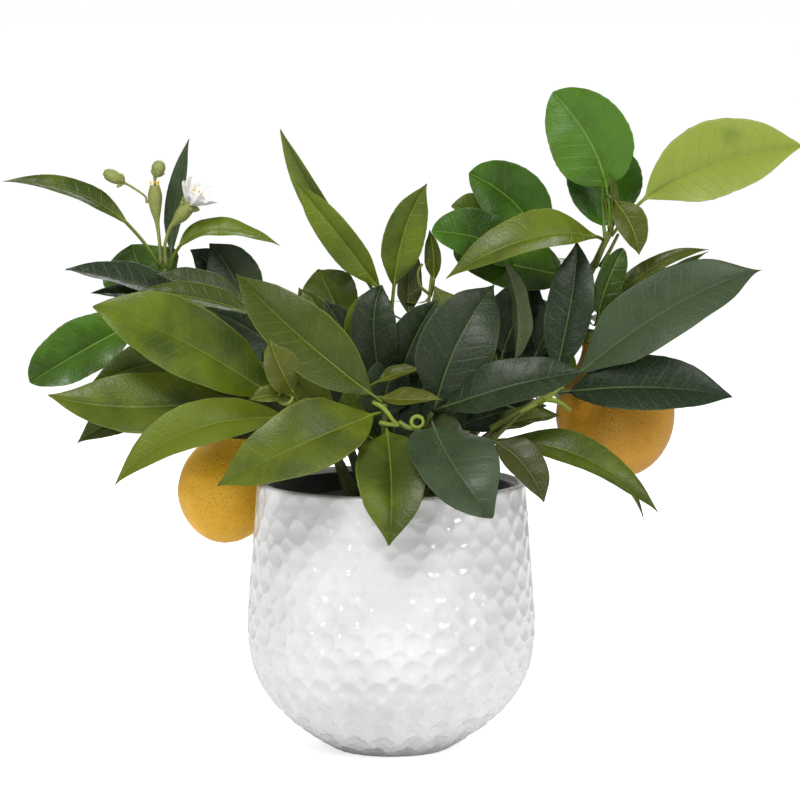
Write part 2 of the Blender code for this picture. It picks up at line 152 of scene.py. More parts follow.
def cells(tree, vector, scale, feature="F1"):
    node = tree.nodes.new("ShaderNodeTexVoronoi")
    node.feature = feature
    join(tree, vector, node.inputs["Vector"])
    join(tree, scale, node.inputs["Scale"])
    return node.outputs["Distance"]


def here(tree):
    """Object coordinates, which stay with a piece wherever it is seen from."""
    return tree.nodes.new("ShaderNodeTexCoord").outputs["Object"]


def attribute(tree, name):
    node = tree.nodes.new("ShaderNodeAttribute")
    node.attribute_name = name
    return node.outputs["Vector"]


def split(tree, vector):
    node = tree.nodes.new("ShaderNodeSeparateXYZ")
    join(tree, vector, node.inputs[0])
    return node.outputs


# %% [markdown]
# A finish starts from one Principled shader. Numbers that are the same all over a piece are set on
# the shader itself, and only what varies is linked. A shared effect becomes a node group, which is
# built once and placed in each material with its own values.


# %% Materials and shared groups
def paint(red, green, blue):
    """A colour chip, given as 0 to 255 on a screen, in the linear values that shaders use."""
    shares = [value / 255 for value in (red, green, blue)]
    return tuple(((share + 0.055) / 1.055) ** 2.4 if share > 0.04 else share / 12.92 for share in shares)


def new_finish(name, **constants):
    """A material and its tree, with the constants set on the shader's own sockets."""
    material = bpy.data.materials.new(name)
    material.use_nodes = True
    shader = material.node_tree.nodes["Principled BSDF"]
    for label, value in constants.items():
        shader.inputs[label.replace("_", " ").title().replace("Ior", "IOR")].default_value = value
    return material, material.node_tree


def dress(material, colour, height, distance, strength, rough=None):
    """Link what varies on a finish: its colour, the height of its relief and its roughness."""
    tree = material.node_tree
    shader = tree.nodes["Principled BSDF"]
    join(tree, colour, shader.inputs["Base Color"])
    if rough is not None:
        join(tree, rough, shader.inputs["Roughness"])
    bump = tree.nodes.new("ShaderNodeBump")
    bump.inputs["Distance"].default_value = distance
    bump.inputs["Strength"].default_value = strength
    join(tree, height, bump.inputs["Height"])
    join(tree, bump.outputs[0], shader.inputs["Normal"])
    return material


def new_group(name, inputs, outputs, kind="ShaderNodeTree"):
    """A node group. An input is a starting number or a kind of socket, and an output is a kind."""
    group = bpy.data.node_groups.new(name, kind)
    for label, start in inputs.items():
        number = {float: "Float", int: "Int"}.get(type(start))
        socket_type = "NodeSocket" + (number or start)
        socket = group.interface.new_socket(name=label, in_out="INPUT", socket_type=socket_type)
        if number:
            socket.default_value = start
    for label, kind_out in outputs.items():
        group.interface.new_socket(name=label, in_out="OUTPUT", socket_type="NodeSocket" + kind_out)
    return group, group.nodes.new("NodeGroupInput").outputs, group.nodes.new("NodeGroupOutput").inputs


def place_group(tree, group, **values):
    node = tree.nodes.new("ShaderNodeGroup")
    node.node_tree = group
    for label, value in values.items():
        join(tree, value, node.inputs[label.replace("_", " ").title()])
    return node.outputs


# %% [markdown]
# ## Light and floor
# The plant stands on a plain pale sheet in a white studio. A surround and a sheet that look white but
# give only half of the light leave room for lamps: a broad one high on the left, a weaker one on the
# right and one behind for the leaf edges. Otherwise everything would be lit flat from all around.
# Two small lamps in front give the glaze its sparkles.

# %% Surround and lamps
scene = bpy.context.scene
scene.view_settings.view_transform = "Standard"
world = bpy.data.worlds.new("white surround")
world.use_nodes = True
background = world.node_tree.nodes["Background"]
background.inputs["Color"].default_value = (1.0, 1.0, 1.0, 1.0)
seen = world.node_tree.nodes.new("ShaderNodeLightPath").outputs["Is Camera Ray"]
join(world.node_tree, fade(world.node_tree, seen, 0.0, 1.0, 0.42, 1.0), background.inputs["Strength"])
scene.world = world


PLANT_MIDDLE = Vector((0.0, 0.0, 0.15))


def lamp(name, place, watts, size):
    data = bpy.data.lights.new(name, "AREA")
    data.energy, data.size = watts, size
    obj = bpy.data.objects.new(name, data)
    obj.location = place
    obj.rotation_euler = (PLANT_MIDDLE - Vector(place)).to_track_quat("-Z", "Y").to_euler()
    scene.collection.objects.link(obj)


lamp("key lamp", (-0.35, -0.85, 1.2), 12.5, 0.45)
lamp("right lamp", (0.9, -0.7, 0.7), 4.0, 0.35)
lamp("back lamp", (0.1, 1.0, 1.0), 7.0, 0.6)
lamp("left sparkle", (-0.95, -1.05, 0.7), 2.0, 0.09)
lamp("right sparkle", (0.65, -1.1, 0.8), 1.6, 0.09)
print("five lamps and a white surround")


# %% Floor
def add_floor():
    mesh = bpy.data.meshes.new("floor")
    bm = bmesh.new()
    bmesh.ops.create_grid(bm, x_segments=2, y_segments=2, size=30.0)
    bm.to_mesh(mesh)
    bm.free()
    material, tree = new_finish("floor paper", roughness=0.9, emission_color=(1.0, 1.0, 1.0, 1.0))
    shader = tree.nodes["Principled BSDF"]
    seen = tree.nodes.new("ShaderNodeLightPath").outputs["Is Camera Ray"]
    join(tree, fade(tree, seen, 0.0, 1.0, 0.0, 0.6), shader.inputs["Emission Strength"])
    speck = noise(tree, here(tree), 40.0)
    join(tree, colour_mix(tree, speck, (0.97, 0.97, 0.97), (0.99, 0.99, 0.99)), shader.inputs["Base Color"])
    mesh.materials.append(material)
    floor = bpy.data.objects.new("floor", mesh)
    scene.collection.objects.link(floor)


add_floor()


# %% [markdown]
# ## Reading the model's pieces
# Leaves and stems in the model are simple lofts: an end point, rings of four or eight corners, and
# another end point. Walking outwards from one end over the mesh's edges gives those rings back in
# order, so the fine pieces follow the model exactly without repeating its numbers.


# %% Rings of a loft
FLAT_ENOUGH = 0.99999


def layers_from(first):
    """Layers of corners, each one edge further from the first than the one before."""
    layers, seen = [list(first)], set(first)
    while layers[-1]:
        near = [edge.other_vert(vert) for vert in layers[-1] for edge in vert.link_edges]
        layers.append([vert for vert in dict.fromkeys(near) if vert not in seen])
        seen.update(layers[-1])
    return layers[:-1]


def caps_of(bm, corners):
    """The corners of each round cap: triangles side by side in one plane."""
    for face in bm.faces:
        region, edge_of_region = {face}, [face]
        while edge_of_region:
            for edge in edge_of_region.pop().edges:
                for other in edge.link_faces:
                    if other not in region and other.normal.dot(face.normal) > FLAT_ENOUGH:
                        region.add(other)
                        edge_of_region.append(other)
        verts = list({vert for flat in region for vert in flat.verts})
        if len(verts) == corners and len(region) == corners - 2:
            centre = sum((vert.co for vert in verts), Vector()) / corners
            reach = [(vert.co - centre).length for vert in verts]
            if max(reach) < 1.1 * min(reach):
                yield verts


def rings_of(node, corners, capped=False):
    """Rings of a loft in order. A pointed end is a layer of one; a capped loft starts at its flat cap."""
    bm = bmesh.new()
    bm.from_mesh(frame["nodes"][node].data)
    bmesh.ops.remove_doubles(bm, verts=bm.verts, dist=0.01 * MM)
    if capped:
        starts = caps_of(bm, corners)
    else:
        starts = [[vert] for vert in bm.verts if len(vert.link_edges) == corners]
    found = None
    for start in starts:
        layers = layers_from(start)
        middle = layers if capped else layers[1:-1]
        if all(len(layer) == corners for layer in middle) and len(layers[-1]) in (1, corners):
            found = [np.array([vert.co[:] for vert in layer]) for layer in layers]
            break
    bm.free()
    return found


print("rings of one leaf:", [len(layer) for layer in rings_of("leaf_front_up", 4)])


# %% Smooth tracks
def smooth(values, samples):
    """Values on a smooth curve through the given rows, at samples places evenly spread over them."""
    values = np.asarray(values, float)
    spots = np.linspace(0, len(values) - 1, samples)
    index = np.minimum(spots.astype(int), len(values) - 2)
    t = (spots - index).reshape(-1, *[1] * (values.ndim - 1))
    padded = np.concatenate([[2 * values[0] - values[1]], values, [2 * values[-1] - values[-2]]])
    before, start, end, after = (padded[index + step] for step in range(4))
    return 0.5 * (2 * start + (end - before) * t + (2 * before - 5 * start + 4 * end - after) * t ** 2
                  + (3 * start - before - 3 * end + after) * t ** 3)


def unit(vectors):
    return vectors / np.maximum(np.linalg.norm(vectors, axis=-1, keepdims=True), 1e-12)


def run_of(line):
    """How far each point of a line is from its first point, measured along the line."""
    return np.concatenate([[0], np.cumsum(np.linalg.norm(np.diff(line, axis=0), axis=1))])


def radii_of(layers):
    return [np.linalg.norm(layer - layer.mean(axis=0), axis=1).mean() for layer in layers]


def square_to(axis, guide):
    """Two directions square to an axis and to each other; the guide may be anything but parallel."""
    side = unit(np.cross(axis, guide))
    return side, np.cross(axis, side)


def even_turn(count):
    return np.linspace(0, math.tau, count, endpoint=False)


def round_about(turn, side, other):
    """Directions round an axis, at the given turns from its side direction."""
    return np.cos(turn)[..., None] * side + np.sin(turn)[..., None] * other


# %% [markdown]
# ## Turning points into pieces
# One helper makes a mesh piece from points and faces, gives it its named attributes and its
# material, and lets it ride on the model. Attributes carry what a pattern needs to follow the
# surface, such as how far a point is from a leaf's midrib.


# %% Make a piece
def plain_object(name, mesh):
    obj = bpy.data.objects.new(name, mesh)
    scene.collection.objects.link(obj)
    return obj


def put_piece(name, mesh, slot, replaces=()):
    """A mesh as a piece of the plant, riding on the model; its slot is not used."""
    obj = plain_object(name, mesh)
    if replaces:
        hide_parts(*replaces)
    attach(obj, "root")


def new_mesh(name, points, faces=()):
    mesh = bpy.data.meshes.new(name)
    mesh.from_pydata([tuple(point) for point in points], [], list(faces))
    return mesh


def face_outwards(mesh):
    bm = bmesh.new()
    bm.from_mesh(mesh)
    if bm.calc_volume(signed=True) < 0:
        bmesh.ops.reverse_faces(bm, faces=bm.faces)
    bm.to_mesh(mesh)
    bm.free()


def add_piece(name, points, faces, material, slot, replaces=(), attributes=()):
    mesh = new_mesh(name, points, faces)
    for label, rows in attributes:
        data = mesh.attributes.new(label, "FLOAT_VECTOR", "POINT")
        data.data.foreach_set("vector", np.asarray(rows, np.float32).ravel())
    mesh.materials.append(material)
    face_outwards(mesh)
    mesh.shade_smooth()
    put_piece(name, mesh, slot, replaces)


def loft_faces(rows, around):
    """Quads over rows of points laid one after another, with a fan to a point at each end."""
    pairs = [(step, (step + 1) % around) for step in range(around)]
    first, top = rows * around, (rows - 1) * around
    faces = []
    for low in range(0, top, around):
        high = low + around
        faces += [(low + step, low + after, high + after, high + step) for step, after in pairs]
    for step, after in pairs:
        faces += [(first, after, step), (first + 1, top + step, top + after)]
    return faces


def loft(name, line, rings, material, slot, replaces=(), attributes=()):
    """A closed loft: rings is rows x corners x 3, and line gives its first and last points."""
    rows, around = rings.shape[:2]
    points = np.concatenate([rings.reshape(-1, 3), line[:1], line[-1:]])
    add_piece(name, points, loft_faces(rows, around), material, slot, replaces, attributes)


# %% [markdown]
# ## Leaf shape
# A citrus leaf has a short round stalk, a blade that rises in a shallow V from a sunken midrib, and
# two slightly domed halves with a faintly wavy edge. A flat card with a picture would do for a far
# view, but here each leaf is a thin closed body. It is built as rows of points across the blade,
# closer together near the midrib, so the groove and the rib beneath it are real.

# %% Stations along a leaf
ROWS = 46
ACROSS = np.array([-1, -0.965, -0.88, -0.75, -0.6, -0.44, -0.28, -0.14, -0.055, 0,
                   0.055, 0.14, 0.28, 0.44, 0.6, 0.75, 0.88, 0.965, 1])
STALK_RADIUS = 0.8 * MM
BLADE_HALF = 0.17 * MM
NARROWEST_BLADE = 2.4 * MM


def widest_pair(ring):
    """The two corners of a ring that are furthest apart, with their distance first."""
    return max((np.linalg.norm(ring[a] - ring[b]), a, b) for a in range(4) for b in range(a))


def stations_of(node):
    """Middle line, sideways and upward directions and half width along a leaf of the model."""
    layers = rings_of(node, 4)
    if widest_pair(layers[2])[0] > NARROWEST_BLADE:
        layers = layers[::-1]
    middle, side, up, half = [], [], [], []
    for ring in layers[1:-1]:
        length, a, b = widest_pair(ring)
        middle.append(ring[[index for index in range(4) if index not in (a, b)]].mean(axis=0))
        side.append(ring[a] - ring[b])
        up.append((ring[a] + ring[b]) / 2 - middle[-1])
        half.append(length / 2)
    side[:2], up[:2], half[:2] = [side[2]] * 2, [up[2]] * 2, [STALK_RADIUS] * 2
    for row in range(1, len(side)):
        if np.dot(side[row], side[row - 1]) < 0:
            side[row] = -side[row]
    line = np.array([layers[0][0], *middle, layers[-1][0]])
    side = unit(np.array([side[0], *side, side[-1]]))
    up = unit(np.array([up[0], *up, up[-1]]))
    return line, side, up, np.array([STALK_RADIUS, *half, 0.0])


line, side, up, half = stations_of("leaf_front_up")
print("leaf_front_up:", len(line), "stations, widest", round(2 * half.max() / MM, 1), "mm")


# %% [markdown]
# From those stations a smooth track is drawn, and every row of the blade is bent round it. A few
# numbers drawn from a generator seeded with the leaf's own name vary the fold, the waves and the
# tone, so that no two leaves are alike and every run gives the same plant.

# %% Sizes of a leaf's relief
RIPPLE_LENGTH = 4.2 * MM
QUILT_LENGTH = 7.5 * MM
QUILT_HEIGHT = 0.16 * MM
GROOVE_DEPTH = 0.32 * MM
GROOVE_WIDTH = 0.8 * MM
RIB_HEIGHT = 0.55 * MM
RIB_WIDTH = 0.75 * MM
FIRST_BLADE_STATION = 2


# %% Build one leaf
def columns(*values):
    """Values over rows and places across as one list of triples, in the order of a loft's points."""
    return np.stack(np.broadcast_arrays(*values), axis=-1).reshape(-1, 3)


def add_leaf(name, stations, material, slot, replaces=(), age=0.0, waves=1.0, tone=None, pointed=0.5):
    rng = random.Random(name)
    line, side, up, half = stations
    index = np.linspace(0, len(line) - 1, ROWS)
    line, side, up = smooth(line, ROWS), unit(smooth(side, ROWS)), unit(smooth(up, ROWS))
    half = np.maximum(smooth(half ** 1.6, ROWS), 0) ** (1 / 1.6)
    blade = np.clip((index - FIRST_BLADE_STATION) / 1.2, 0, 1)
    half = np.where(index < FIRST_BLADE_STATION, STALK_RADIUS, np.maximum(half, 0.1 * MM))
    run = run_of(line)
    along = run - np.interp(FIRST_BLADE_STATION, index, run)
    share = np.clip(along / along[-1], 0, 1)
    half = half * (1 + 0.008 * np.sin(math.tau * along / RIPPLE_LENGTH) * blade)
    half = half * (1 - pointed * np.clip((share - 0.76) / 0.24, 0, 1) ** 1.6)
    narrow_foot = 1 - 0.7 * pointed * np.clip(1 - share / 0.26, 0, 1)
    half = np.where(index > FIRST_BLADE_STATION, half * narrow_foot, half)
    line = line + side * (rng.uniform(-0.02, 0.02) * along[-1] * np.sin(math.pi * share))[:, None]

    fold, arch = rng.uniform(0.28, 0.40), rng.uniform(0.25, 0.55)
    swing = rng.uniform(0.03, 0.085) * waves
    beats, start = rng.uniform(1.6, 2.8), rng.uniform(0, math.tau)
    # Everything below has a row for each place along the leaf and a column for each place across.
    share, along, half, flat = (values[:, None] for values in (share, along, half, blade))
    u = ACROSS[None, :]
    out = np.abs(u)
    phase = math.tau * beats * share + start + (u > 0) * rng.uniform(0.6, 2.4)
    lift = fold * out * (1 + arch * (1 - out)) + swing * out ** 1.6 * np.sin(phase)
    from_rib = out * half
    swept = math.tau * (along - 0.55 * from_rib) / QUILT_LENGTH
    quilt = QUILT_HEIGHT * np.cos(swept) * 4 * out * (1 - out)
    groove = GROOVE_DEPTH * np.exp(-(from_rib / GROOVE_WIDTH) ** 2)
    height = (lift * half + quilt - groove) * flat
    rib = RIB_HEIGHT * (1 - 0.75 * share) * np.exp(-(from_rib / RIB_WIDTH) ** 2)
    stalk = STALK_RADIUS * np.sqrt(np.maximum(1 - out ** 2, 0)) * (1 - flat)
    thick = BLADE_HALF * np.minimum(1, 3.2 * (1 - out)) * np.minimum(1, half / (2 * MM))
    above = stalk + thick * flat
    below = stalk + (thick + rib * (1 - share)) * flat

    base = line[:, None, :] + side[:, None, :] * (u * half)[..., None]
    upper = base + up[:, None, :] * (height + above)[..., None]
    lower = base + up[:, None, :] * (height - below)[..., None]
    rings = np.concatenate([upper, lower[:, -2:0:-1]], axis=1)

    across = np.concatenate([out, out[:, -2:0:-1]], axis=1)
    under = np.concatenate([np.zeros_like(out), np.ones_like(out[:, 2:])], axis=1)
    tone_drawn = rng.uniform(0, 1)
    warm = min(rng.uniform(0, 0.06 if slot == "leaf_dark" else 0.3) + age, 1)
    tone = tone_drawn if tone is None else tone
    follow = columns(across * half / MM, along / MM, across * flat)
    look = columns(under * np.ones_like(half), tone, warm)
    ends = [[0, along[0, 0] / MM, 0], [0, along[-1, 0] / MM, 0]]
    attributes = [("follow", np.concatenate([follow, ends])),
                  ("look", np.concatenate([look, [[0, tone, warm]] * 2]))]
    loft(name, line, rings, material, slot, replaces, attributes)


# %% [markdown]
# ## Leaf finish
# A lemon leaf is waxy. Its midrib and side veins are paler than the blade, a fine net of veins fills
# the rest, and the edge carries a thin yellow-green line. All four leaf colours share this pattern,
# so it is a node group that reads how far each point is from the midrib and along the blade.

# %% Vein pattern
veins, given, result = new_group(
    "leaf veins",
    {"Follow": "Vector", "Place": "Vector", "Spacing": 6.0, "Net Scale": 480.0},
    {"Rib": "Float", "Side Veins": "Float", "Net": "Float", "Edge": "Float", "Height": "Float"})
from_rib, along, outward = split(veins, given["Follow"])
wander = times(veins, minus(veins, noise(veins, given["Place"], 160.0), 0.5), 2.6)
swept = plus(veins, minus(veins, along, times(veins, from_rib, 0.62)), wander)
beat = calc(veins, "PINGPONG", calc(veins, "DIVIDE", swept, given["Spacing"]), 0.5)
inside = fade(veins, outward, 0.72, 0.97, 1.0, 0.0)
side_veins = times(veins, fade(veins, beat, 0.42, 0.49), inside)
rib = fade(veins, plus(veins, from_rib, times(veins, along, 0.006)), 0.18, 0.6, 1.0, 0.0)
from_net = cells(veins, given["Place"], given["Net Scale"], "DISTANCE_TO_EDGE")
net = fade(veins, from_net, 0.02, 0.16, 1.0, 0.0)
grain = times(veins, noise(veins, given["Place"], 1500.0, 2.0), 0.2)
dents = plus(veins, times(veins, side_veins, 0.55), times(veins, net, 0.22))
height = minus(veins, grain, plus(veins, dents, times(veins, rib, 0.6)))
for label, value in (("Rib", rib), ("Side Veins", side_veins), ("Net", net),
                     ("Edge", fade(veins, outward, 0.93, 0.995)), ("Height", height)):
    join(veins, value, result[label])
print("vein group:", len(veins.nodes), "nodes")


# %% Leaf colours
def leaf_finish(name, deep, fresh, rib_chip, edge_chip, under_chip, gloss, net_share, vein_share):
    material, tree = new_finish(name, coat_weight=0.03, coat_roughness=0.28, specular_ior_level=0.24)
    place = here(tree)
    pattern = place_group(tree, veins, follow=attribute(tree, "follow"), place=place)
    under, tone, warm = split(tree, attribute(tree, "look"))
    # A leaf's tone shifts its colour deeper or fresher; for some leaves of the model this is painted shade or
    # painted glare.
    drift = times(tree, minus(tree, tone, 0.5), 0.45)
    cloud = fade(tree, plus(tree, noise(tree, place, 38.0, 4.0), drift), 0.3, 0.72)
    skin = colour_mix(tree, cloud, paint(*deep), paint(*fresh))
    skin = colour_mix(tree, times(tree, warm, 0.45), skin, paint(112, 108, 40))
    lines = plus(tree, times(tree, pattern["Net"], net_share), times(tree, pattern["Side Veins"], vein_share))
    rib_colour = paint(*rib_chip)
    skin = colour_mix(tree, lines, skin, rib_colour)
    skin = colour_mix(tree, times(tree, pattern["Edge"], 0.75), skin, paint(*edge_chip))
    skin = colour_mix(tree, times(tree, pattern["Rib"], 0.7), skin, rib_colour)
    back = colour_mix(tree, times(tree, lines, 1.6), paint(*under_chip), rib_colour)
    back = colour_mix(tree, pattern["Rib"], back, rib_colour)
    dull = plus(tree, times(tree, under, 0.18), times(tree, noise(tree, place, 220.0), 0.14))
    return dress(material, colour_mix(tree, under, skin, back), pattern["Height"], 0.3 * MM, 0.6,
                 plus(tree, dull, gloss))


OLIVE, DARK, BRIGHT, PALE = "leaf_olive", "leaf_dark", "leaf_bright", "leaf_pale"
LEAF_FINISH = {
    OLIVE: leaf_finish("olive leaf", (46, 63, 6), (88, 105, 16), (120, 132, 48), (106, 118, 42),
                       (100, 112, 50), 0.28, 0.05, 0.10),
    DARK: leaf_finish("dark leaf", (25, 39, 23), (54, 69, 46), (92, 108, 60), (64, 78, 48),
                      (78, 86, 60), 0.32, 0.10, 0.12),
    BRIGHT: leaf_finish("bright leaf", (26, 58, 8), (60, 104, 18), (120, 146, 56), (84, 116, 40),
                        (92, 118, 50), 0.25, 0.05, 0.10),
    PALE: leaf_finish("pale leaf", (84, 100, 34), (128, 142, 54), (92, 110, 44), (150, 162, 84),
                      (140, 150, 80), 0.34, 0.06, 0.10),
}
print(len(LEAF_FINISH), "leaf finishes")

# %% [markdown]
# A leaf's tone runs from deep at 0 to fresh at 1. The tones listed for leaves of the model also paint
# light and go a little beyond: low ones are painted shade on leaves in shade, high ones painted glare on
# leaves in the sun. How pointed its ends are goes by its kind, except for a few leaves that are odd ones out.

# %% Leaves of the model
# Painted light: a low tone here is painted shade, a high one painted glare.
TONES_AND_PAINTED_LIGHT = {"leaf_dark_up": -1.3, "leaf_centre_dark": -0.5, "leaf_right_back": -0.3, "leaf_right": -0.1,
         "leaf_right_up": 1.0, "leaf_front_broad": 0.8, "leaf_mid_up": 0.7, "leaf_blossom_up": 1.4,
         "leaf_front_hanging": 0.35, "leaf_arching": 0.75, "leaf_left_upper": 0.5}
POINTED = {BRIGHT: 0.1, PALE: 0.35, OLIVE: 0.5, DARK: 0.5}
SHARPER = {"leaf_right_up": 0.95, "leaf_front_broad": 0.25, "leaf_left_upper": 0.3, "leaf_dark_up": 0.8}
for node, slot in SLOT_OF.items():
    if slot in LEAF_FINISH:
        add_leaf("fine_" + node, stations_of(node), LEAF_FINISH[slot], slot, replaces=[node],
                 tone=TONES_AND_PAINTED_LIGHT.get(node), pointed=SHARPER.get(node, POINTED[slot]))
print(sum(slot in LEAF_FINISH for slot in SLOT_OF.values()), "leaves of the model made fine")


# %% [markdown]
# ## Stems
# The green stems of a young lemon plant are slightly crooked, swollen where a leaf joins, and
# streaked lengthwise. A curve with a bevel would give an even pipe, so each stem is lofted round the
# model's own middle line, with a radius that swells at its joints.

# %% Stem finish
RIDGES = 9


def stem_finish(name, green, brown, moss):
    material, tree = new_finish(name)
    place = here(tree)
    around = split(tree, attribute(tree, "follow"))[0]
    streak = noise(tree, place, 900.0, 2.0)
    patch = fade(tree, noise(tree, place, 70.0, 4.0), 0.4, 0.68)
    skin = colour_mix(tree, patch, paint(*green), paint(*brown))
    skin = colour_mix(tree, times(tree, streak, 0.5), skin, paint(*moss))
    # Painted shade: the stems darken towards the rim, where they stand in the shade under the leaves.
    low = fade(tree, split(tree, place)[2], RIM, RIM + 50 * MM, 0.75, 0.0)
    skin = colour_mix(tree, low, skin, paint(44, 44, 22))
    ridges = calc(tree, "SINE", times(tree, around, RIDGES * math.tau))
    return dress(material, skin, plus(tree, times(tree, ridges, 0.3), streak), 0.3 * MM, 0.7,
                 scaled(tree, streak, 0.2, 0.5))


STEM_FINISH = stem_finish("green stem", (98, 112, 42), (96, 84, 44), (140, 150, 78))
STALK_FINISH = stem_finish("leaf stalk", (104, 120, 34), (96, 98, 36), (126, 138, 54))
CURL_FINISH = stem_finish("young curl", (132, 154, 36), (118, 130, 40), (154, 168, 62))

# %% Round tubes
JOINT_GAP = 13 * MM


def add_tube(name, line, radii, material, slot, replaces=(), corners=12, joints=True):
    """A closed tube through the given points, swollen at its joints."""
    rows = max(8, 4 * len(line))
    line, radii = smooth(line, rows), smooth(radii, rows)
    ahead = unit(np.gradient(line, axis=0))
    run = run_of(line)
    if joints:
        start = random.Random(name).uniform(0, 1)
        radii = radii * (1 + 0.22 * np.exp(-((run / JOINT_GAP + start) % 1 - 0.5) ** 2 / 0.006))
    side = np.zeros_like(line)
    guide = np.array([1.0, 0.0, 0.0]) if abs(ahead[0][0]) < 0.9 else np.array([0.0, 1.0, 0.0])
    for row in range(rows):
        guide = guide - ahead[row] * np.dot(guide, ahead[row])
        guide = guide / np.linalg.norm(guide)
        side[row] = guide
    turn = even_turn(corners)
    spokes = round_about(turn, side[:, None], np.cross(ahead, side)[:, None])
    rings = line[:, None] + radii[:, None, None] * spokes
    follow = columns(turn[None, :] / math.tau, run[:, None] / MM, 0.0)
    attributes = [("follow", np.concatenate([follow, [[0, 0, 0], [0, run[-1] / MM, 0]]]))]
    loft(name, line, rings, material, slot, replaces, attributes)


# %% Stems of the model
def middle_of(layers):
    """The middle line of a tube and its radius at each ring, from the lowest end up."""
    middle, radii = np.array([layer.mean(axis=0) for layer in layers]), np.array(radii_of(layers))
    return (middle, radii) if middle[0][2] < middle[-1][2] else (middle[::-1], radii[::-1])


STEM_LINES = {}
for node, slot in SLOT_OF.items():
    if slot == "stem":
        middle, radii = middle_of(rings_of(node, 8, capped=True))
        add_tube("fine_" + node, middle, radii, STEM_FINISH, slot, replaces=[node])
        STEM_LINES[node] = smooth(middle, 60)
print(len(STEM_LINES), "stems and fruit stalks")
stem_points = np.concatenate([points for name, points in STEM_LINES.items() if name.startswith("stem")])
stem_points = stem_points[stem_points[:, 2] > RIM - 4 * MM]
stem_tree = kdtree.KDTree(len(stem_points))
for index, point in enumerate(stem_points):
    stem_tree.insert(point, index)
stem_tree.balance()


# %% [markdown]
# ## The leaves between
# The model holds the leaves that make the plant's outline. Behind and between them grow many more,
# which belong to the same sprigs. Each is given as three points of its midrib, in millimetres
# across, back and above the rim, with its width and the way that its face looks. Its stalk runs to
# the nearest stem by itself.

# %% Lay a leaf by three points
FORM = {OLIVE: (0.70, 0.95), DARK: (0.62, 0.85), BRIGHT: (0.58, 0.55), PALE: (1.0, 0.85)}
BLADE_SHARES = np.array([0, 0.05, 0.13, 0.24, 0.36, 0.5, 0.64, 0.77, 0.88, 0.95, 1.0])
LONGEST_STALK = 12 * MM


def plant_point(point):
    x, y, height = point
    return np.array([x * MM, y * MM, RIM + height * MM])


def bent_stations(root, base, middle, tip, width, face, form):
    """Stations of a blade on one bend, with a short stalk that starts at its root; all in metres."""
    bend = 2 * middle - (base + tip) / 2
    t = BLADE_SHARES[:, None]
    line = (1 - t) ** 2 * base + 2 * t * (1 - t) * bend + t ** 2 * tip
    ahead = unit((1 - t) * (bend - base) + t * (tip - bend))
    knee = base - ahead[0] * min(np.linalg.norm(base - root) * 0.45, LONGEST_STALK)
    line = np.concatenate([[root, root * 0.15 + knee * 0.85], line])
    ahead = np.concatenate([ahead[:1], ahead[:1], ahead])
    side, down = square_to(ahead, np.array(face, float))
    rise, fall = form
    widest = rise / (rise + fall)
    spread = BLADE_SHARES ** rise * (1 - BLADE_SHARES) ** fall / (widest ** rise * (1 - widest) ** fall)
    half = np.concatenate([[STALK_RADIUS] * 2, np.maximum(spread * width / 2, STALK_RADIUS)])
    half[-1] = 0
    return line, side, -down, half


def laid_stations(slot, base, middle, tip, width, face):
    """Stations of a leaf given in millimetres, with its stalk on the nearest stem."""
    base, middle, tip = plant_point(base), plant_point(middle), plant_point(tip)
    root = np.array(stem_tree.find(base)[0][:])
    return bent_stations(root, base, middle, tip, width * MM, face, FORM[slot])


# %% Leaves on the left
def lay_leaves(part, rows):
    """Each row: kind, base, middle, tip, width, the way the face looks, age. Names go by letters."""
    for letter, (slot, base, middle, tip, width, face, age) in zip("abcdefghijklmnopqr", rows):
        name = part + "_" + letter
        add_leaf(name, laid_stations(slot, base, middle, tip, width, face), LEAF_FINISH[slot], slot, age=age,
                 tone=random.Random(name + " tone").uniform(-0.4, 0.6), pointed=POINTED[slot])
    print(len(rows), "leaves laid")


lay_leaves("left", [
    (DARK, (-66, 12, 79), (-86, 11, 87), (-106, 10, 93), 17, (0, -0.6, 0.8), 0.3),
    (DARK, (-84, 14, 83), (-112, 13, 83), (-136, 12, 84), 15, (0, -0.5, 0.85), 0.1),
    (DARK, (-68, 30, 76), (-80, 33, 92), (-92, 34, 102), 17, (0, -0.95, 0.3), 0.0),
    (DARK, (-64, 28, 74), (-73, 31, 92), (-83, 31, 105), 24, (0.1, -0.97, 0.2), 0.0),
    (OLIVE, (-62, -8, 76), (-88, -13, 84), (-115, -14, 86), 15, (0, -0.6, 0.8), 0.2),
    (OLIVE, (-72, -12, 50), (-103, -7, 54), (-136, -8, 43), 24, (0, -0.9, 0.4), 0.0),
    (OLIVE, (-96, -10, 38), (-120, -9, 31), (-141, -8, 18), 19, (-0.1, -0.85, 0.5), 0.1),
    (OLIVE, (-43, -42, 44), (-49, -48, 56), (-53, -47, 68), 17, (0.25, -0.9, 0.3), 0.6),
    (OLIVE, (-46, -40, 42), (-54, -44, 43), (-62, -43, 41), 9, (0, -0.8, 0.6), 0.3),
    (DARK, (-38, -6, 30), (-58, -6, 28), (-80, -6, 21), 21, (0, -0.85, 0.5), 0.4),
    (OLIVE, (-24, -6, 24), (-44, -2, 46), (-58, 2, 60), 20, (0, -0.9, 0.4), 0.3),
    (DARK, (-46, 6, 54), (-62, 5, 67), (-80, 5, 76), 22, (-0.1, -0.9, 0.4), 0.0),
    (DARK, (-20, -14, 16), (-32, -20, 24), (-46, -22, 28), 18, (0, -0.8, 0.6), 0.0),
])

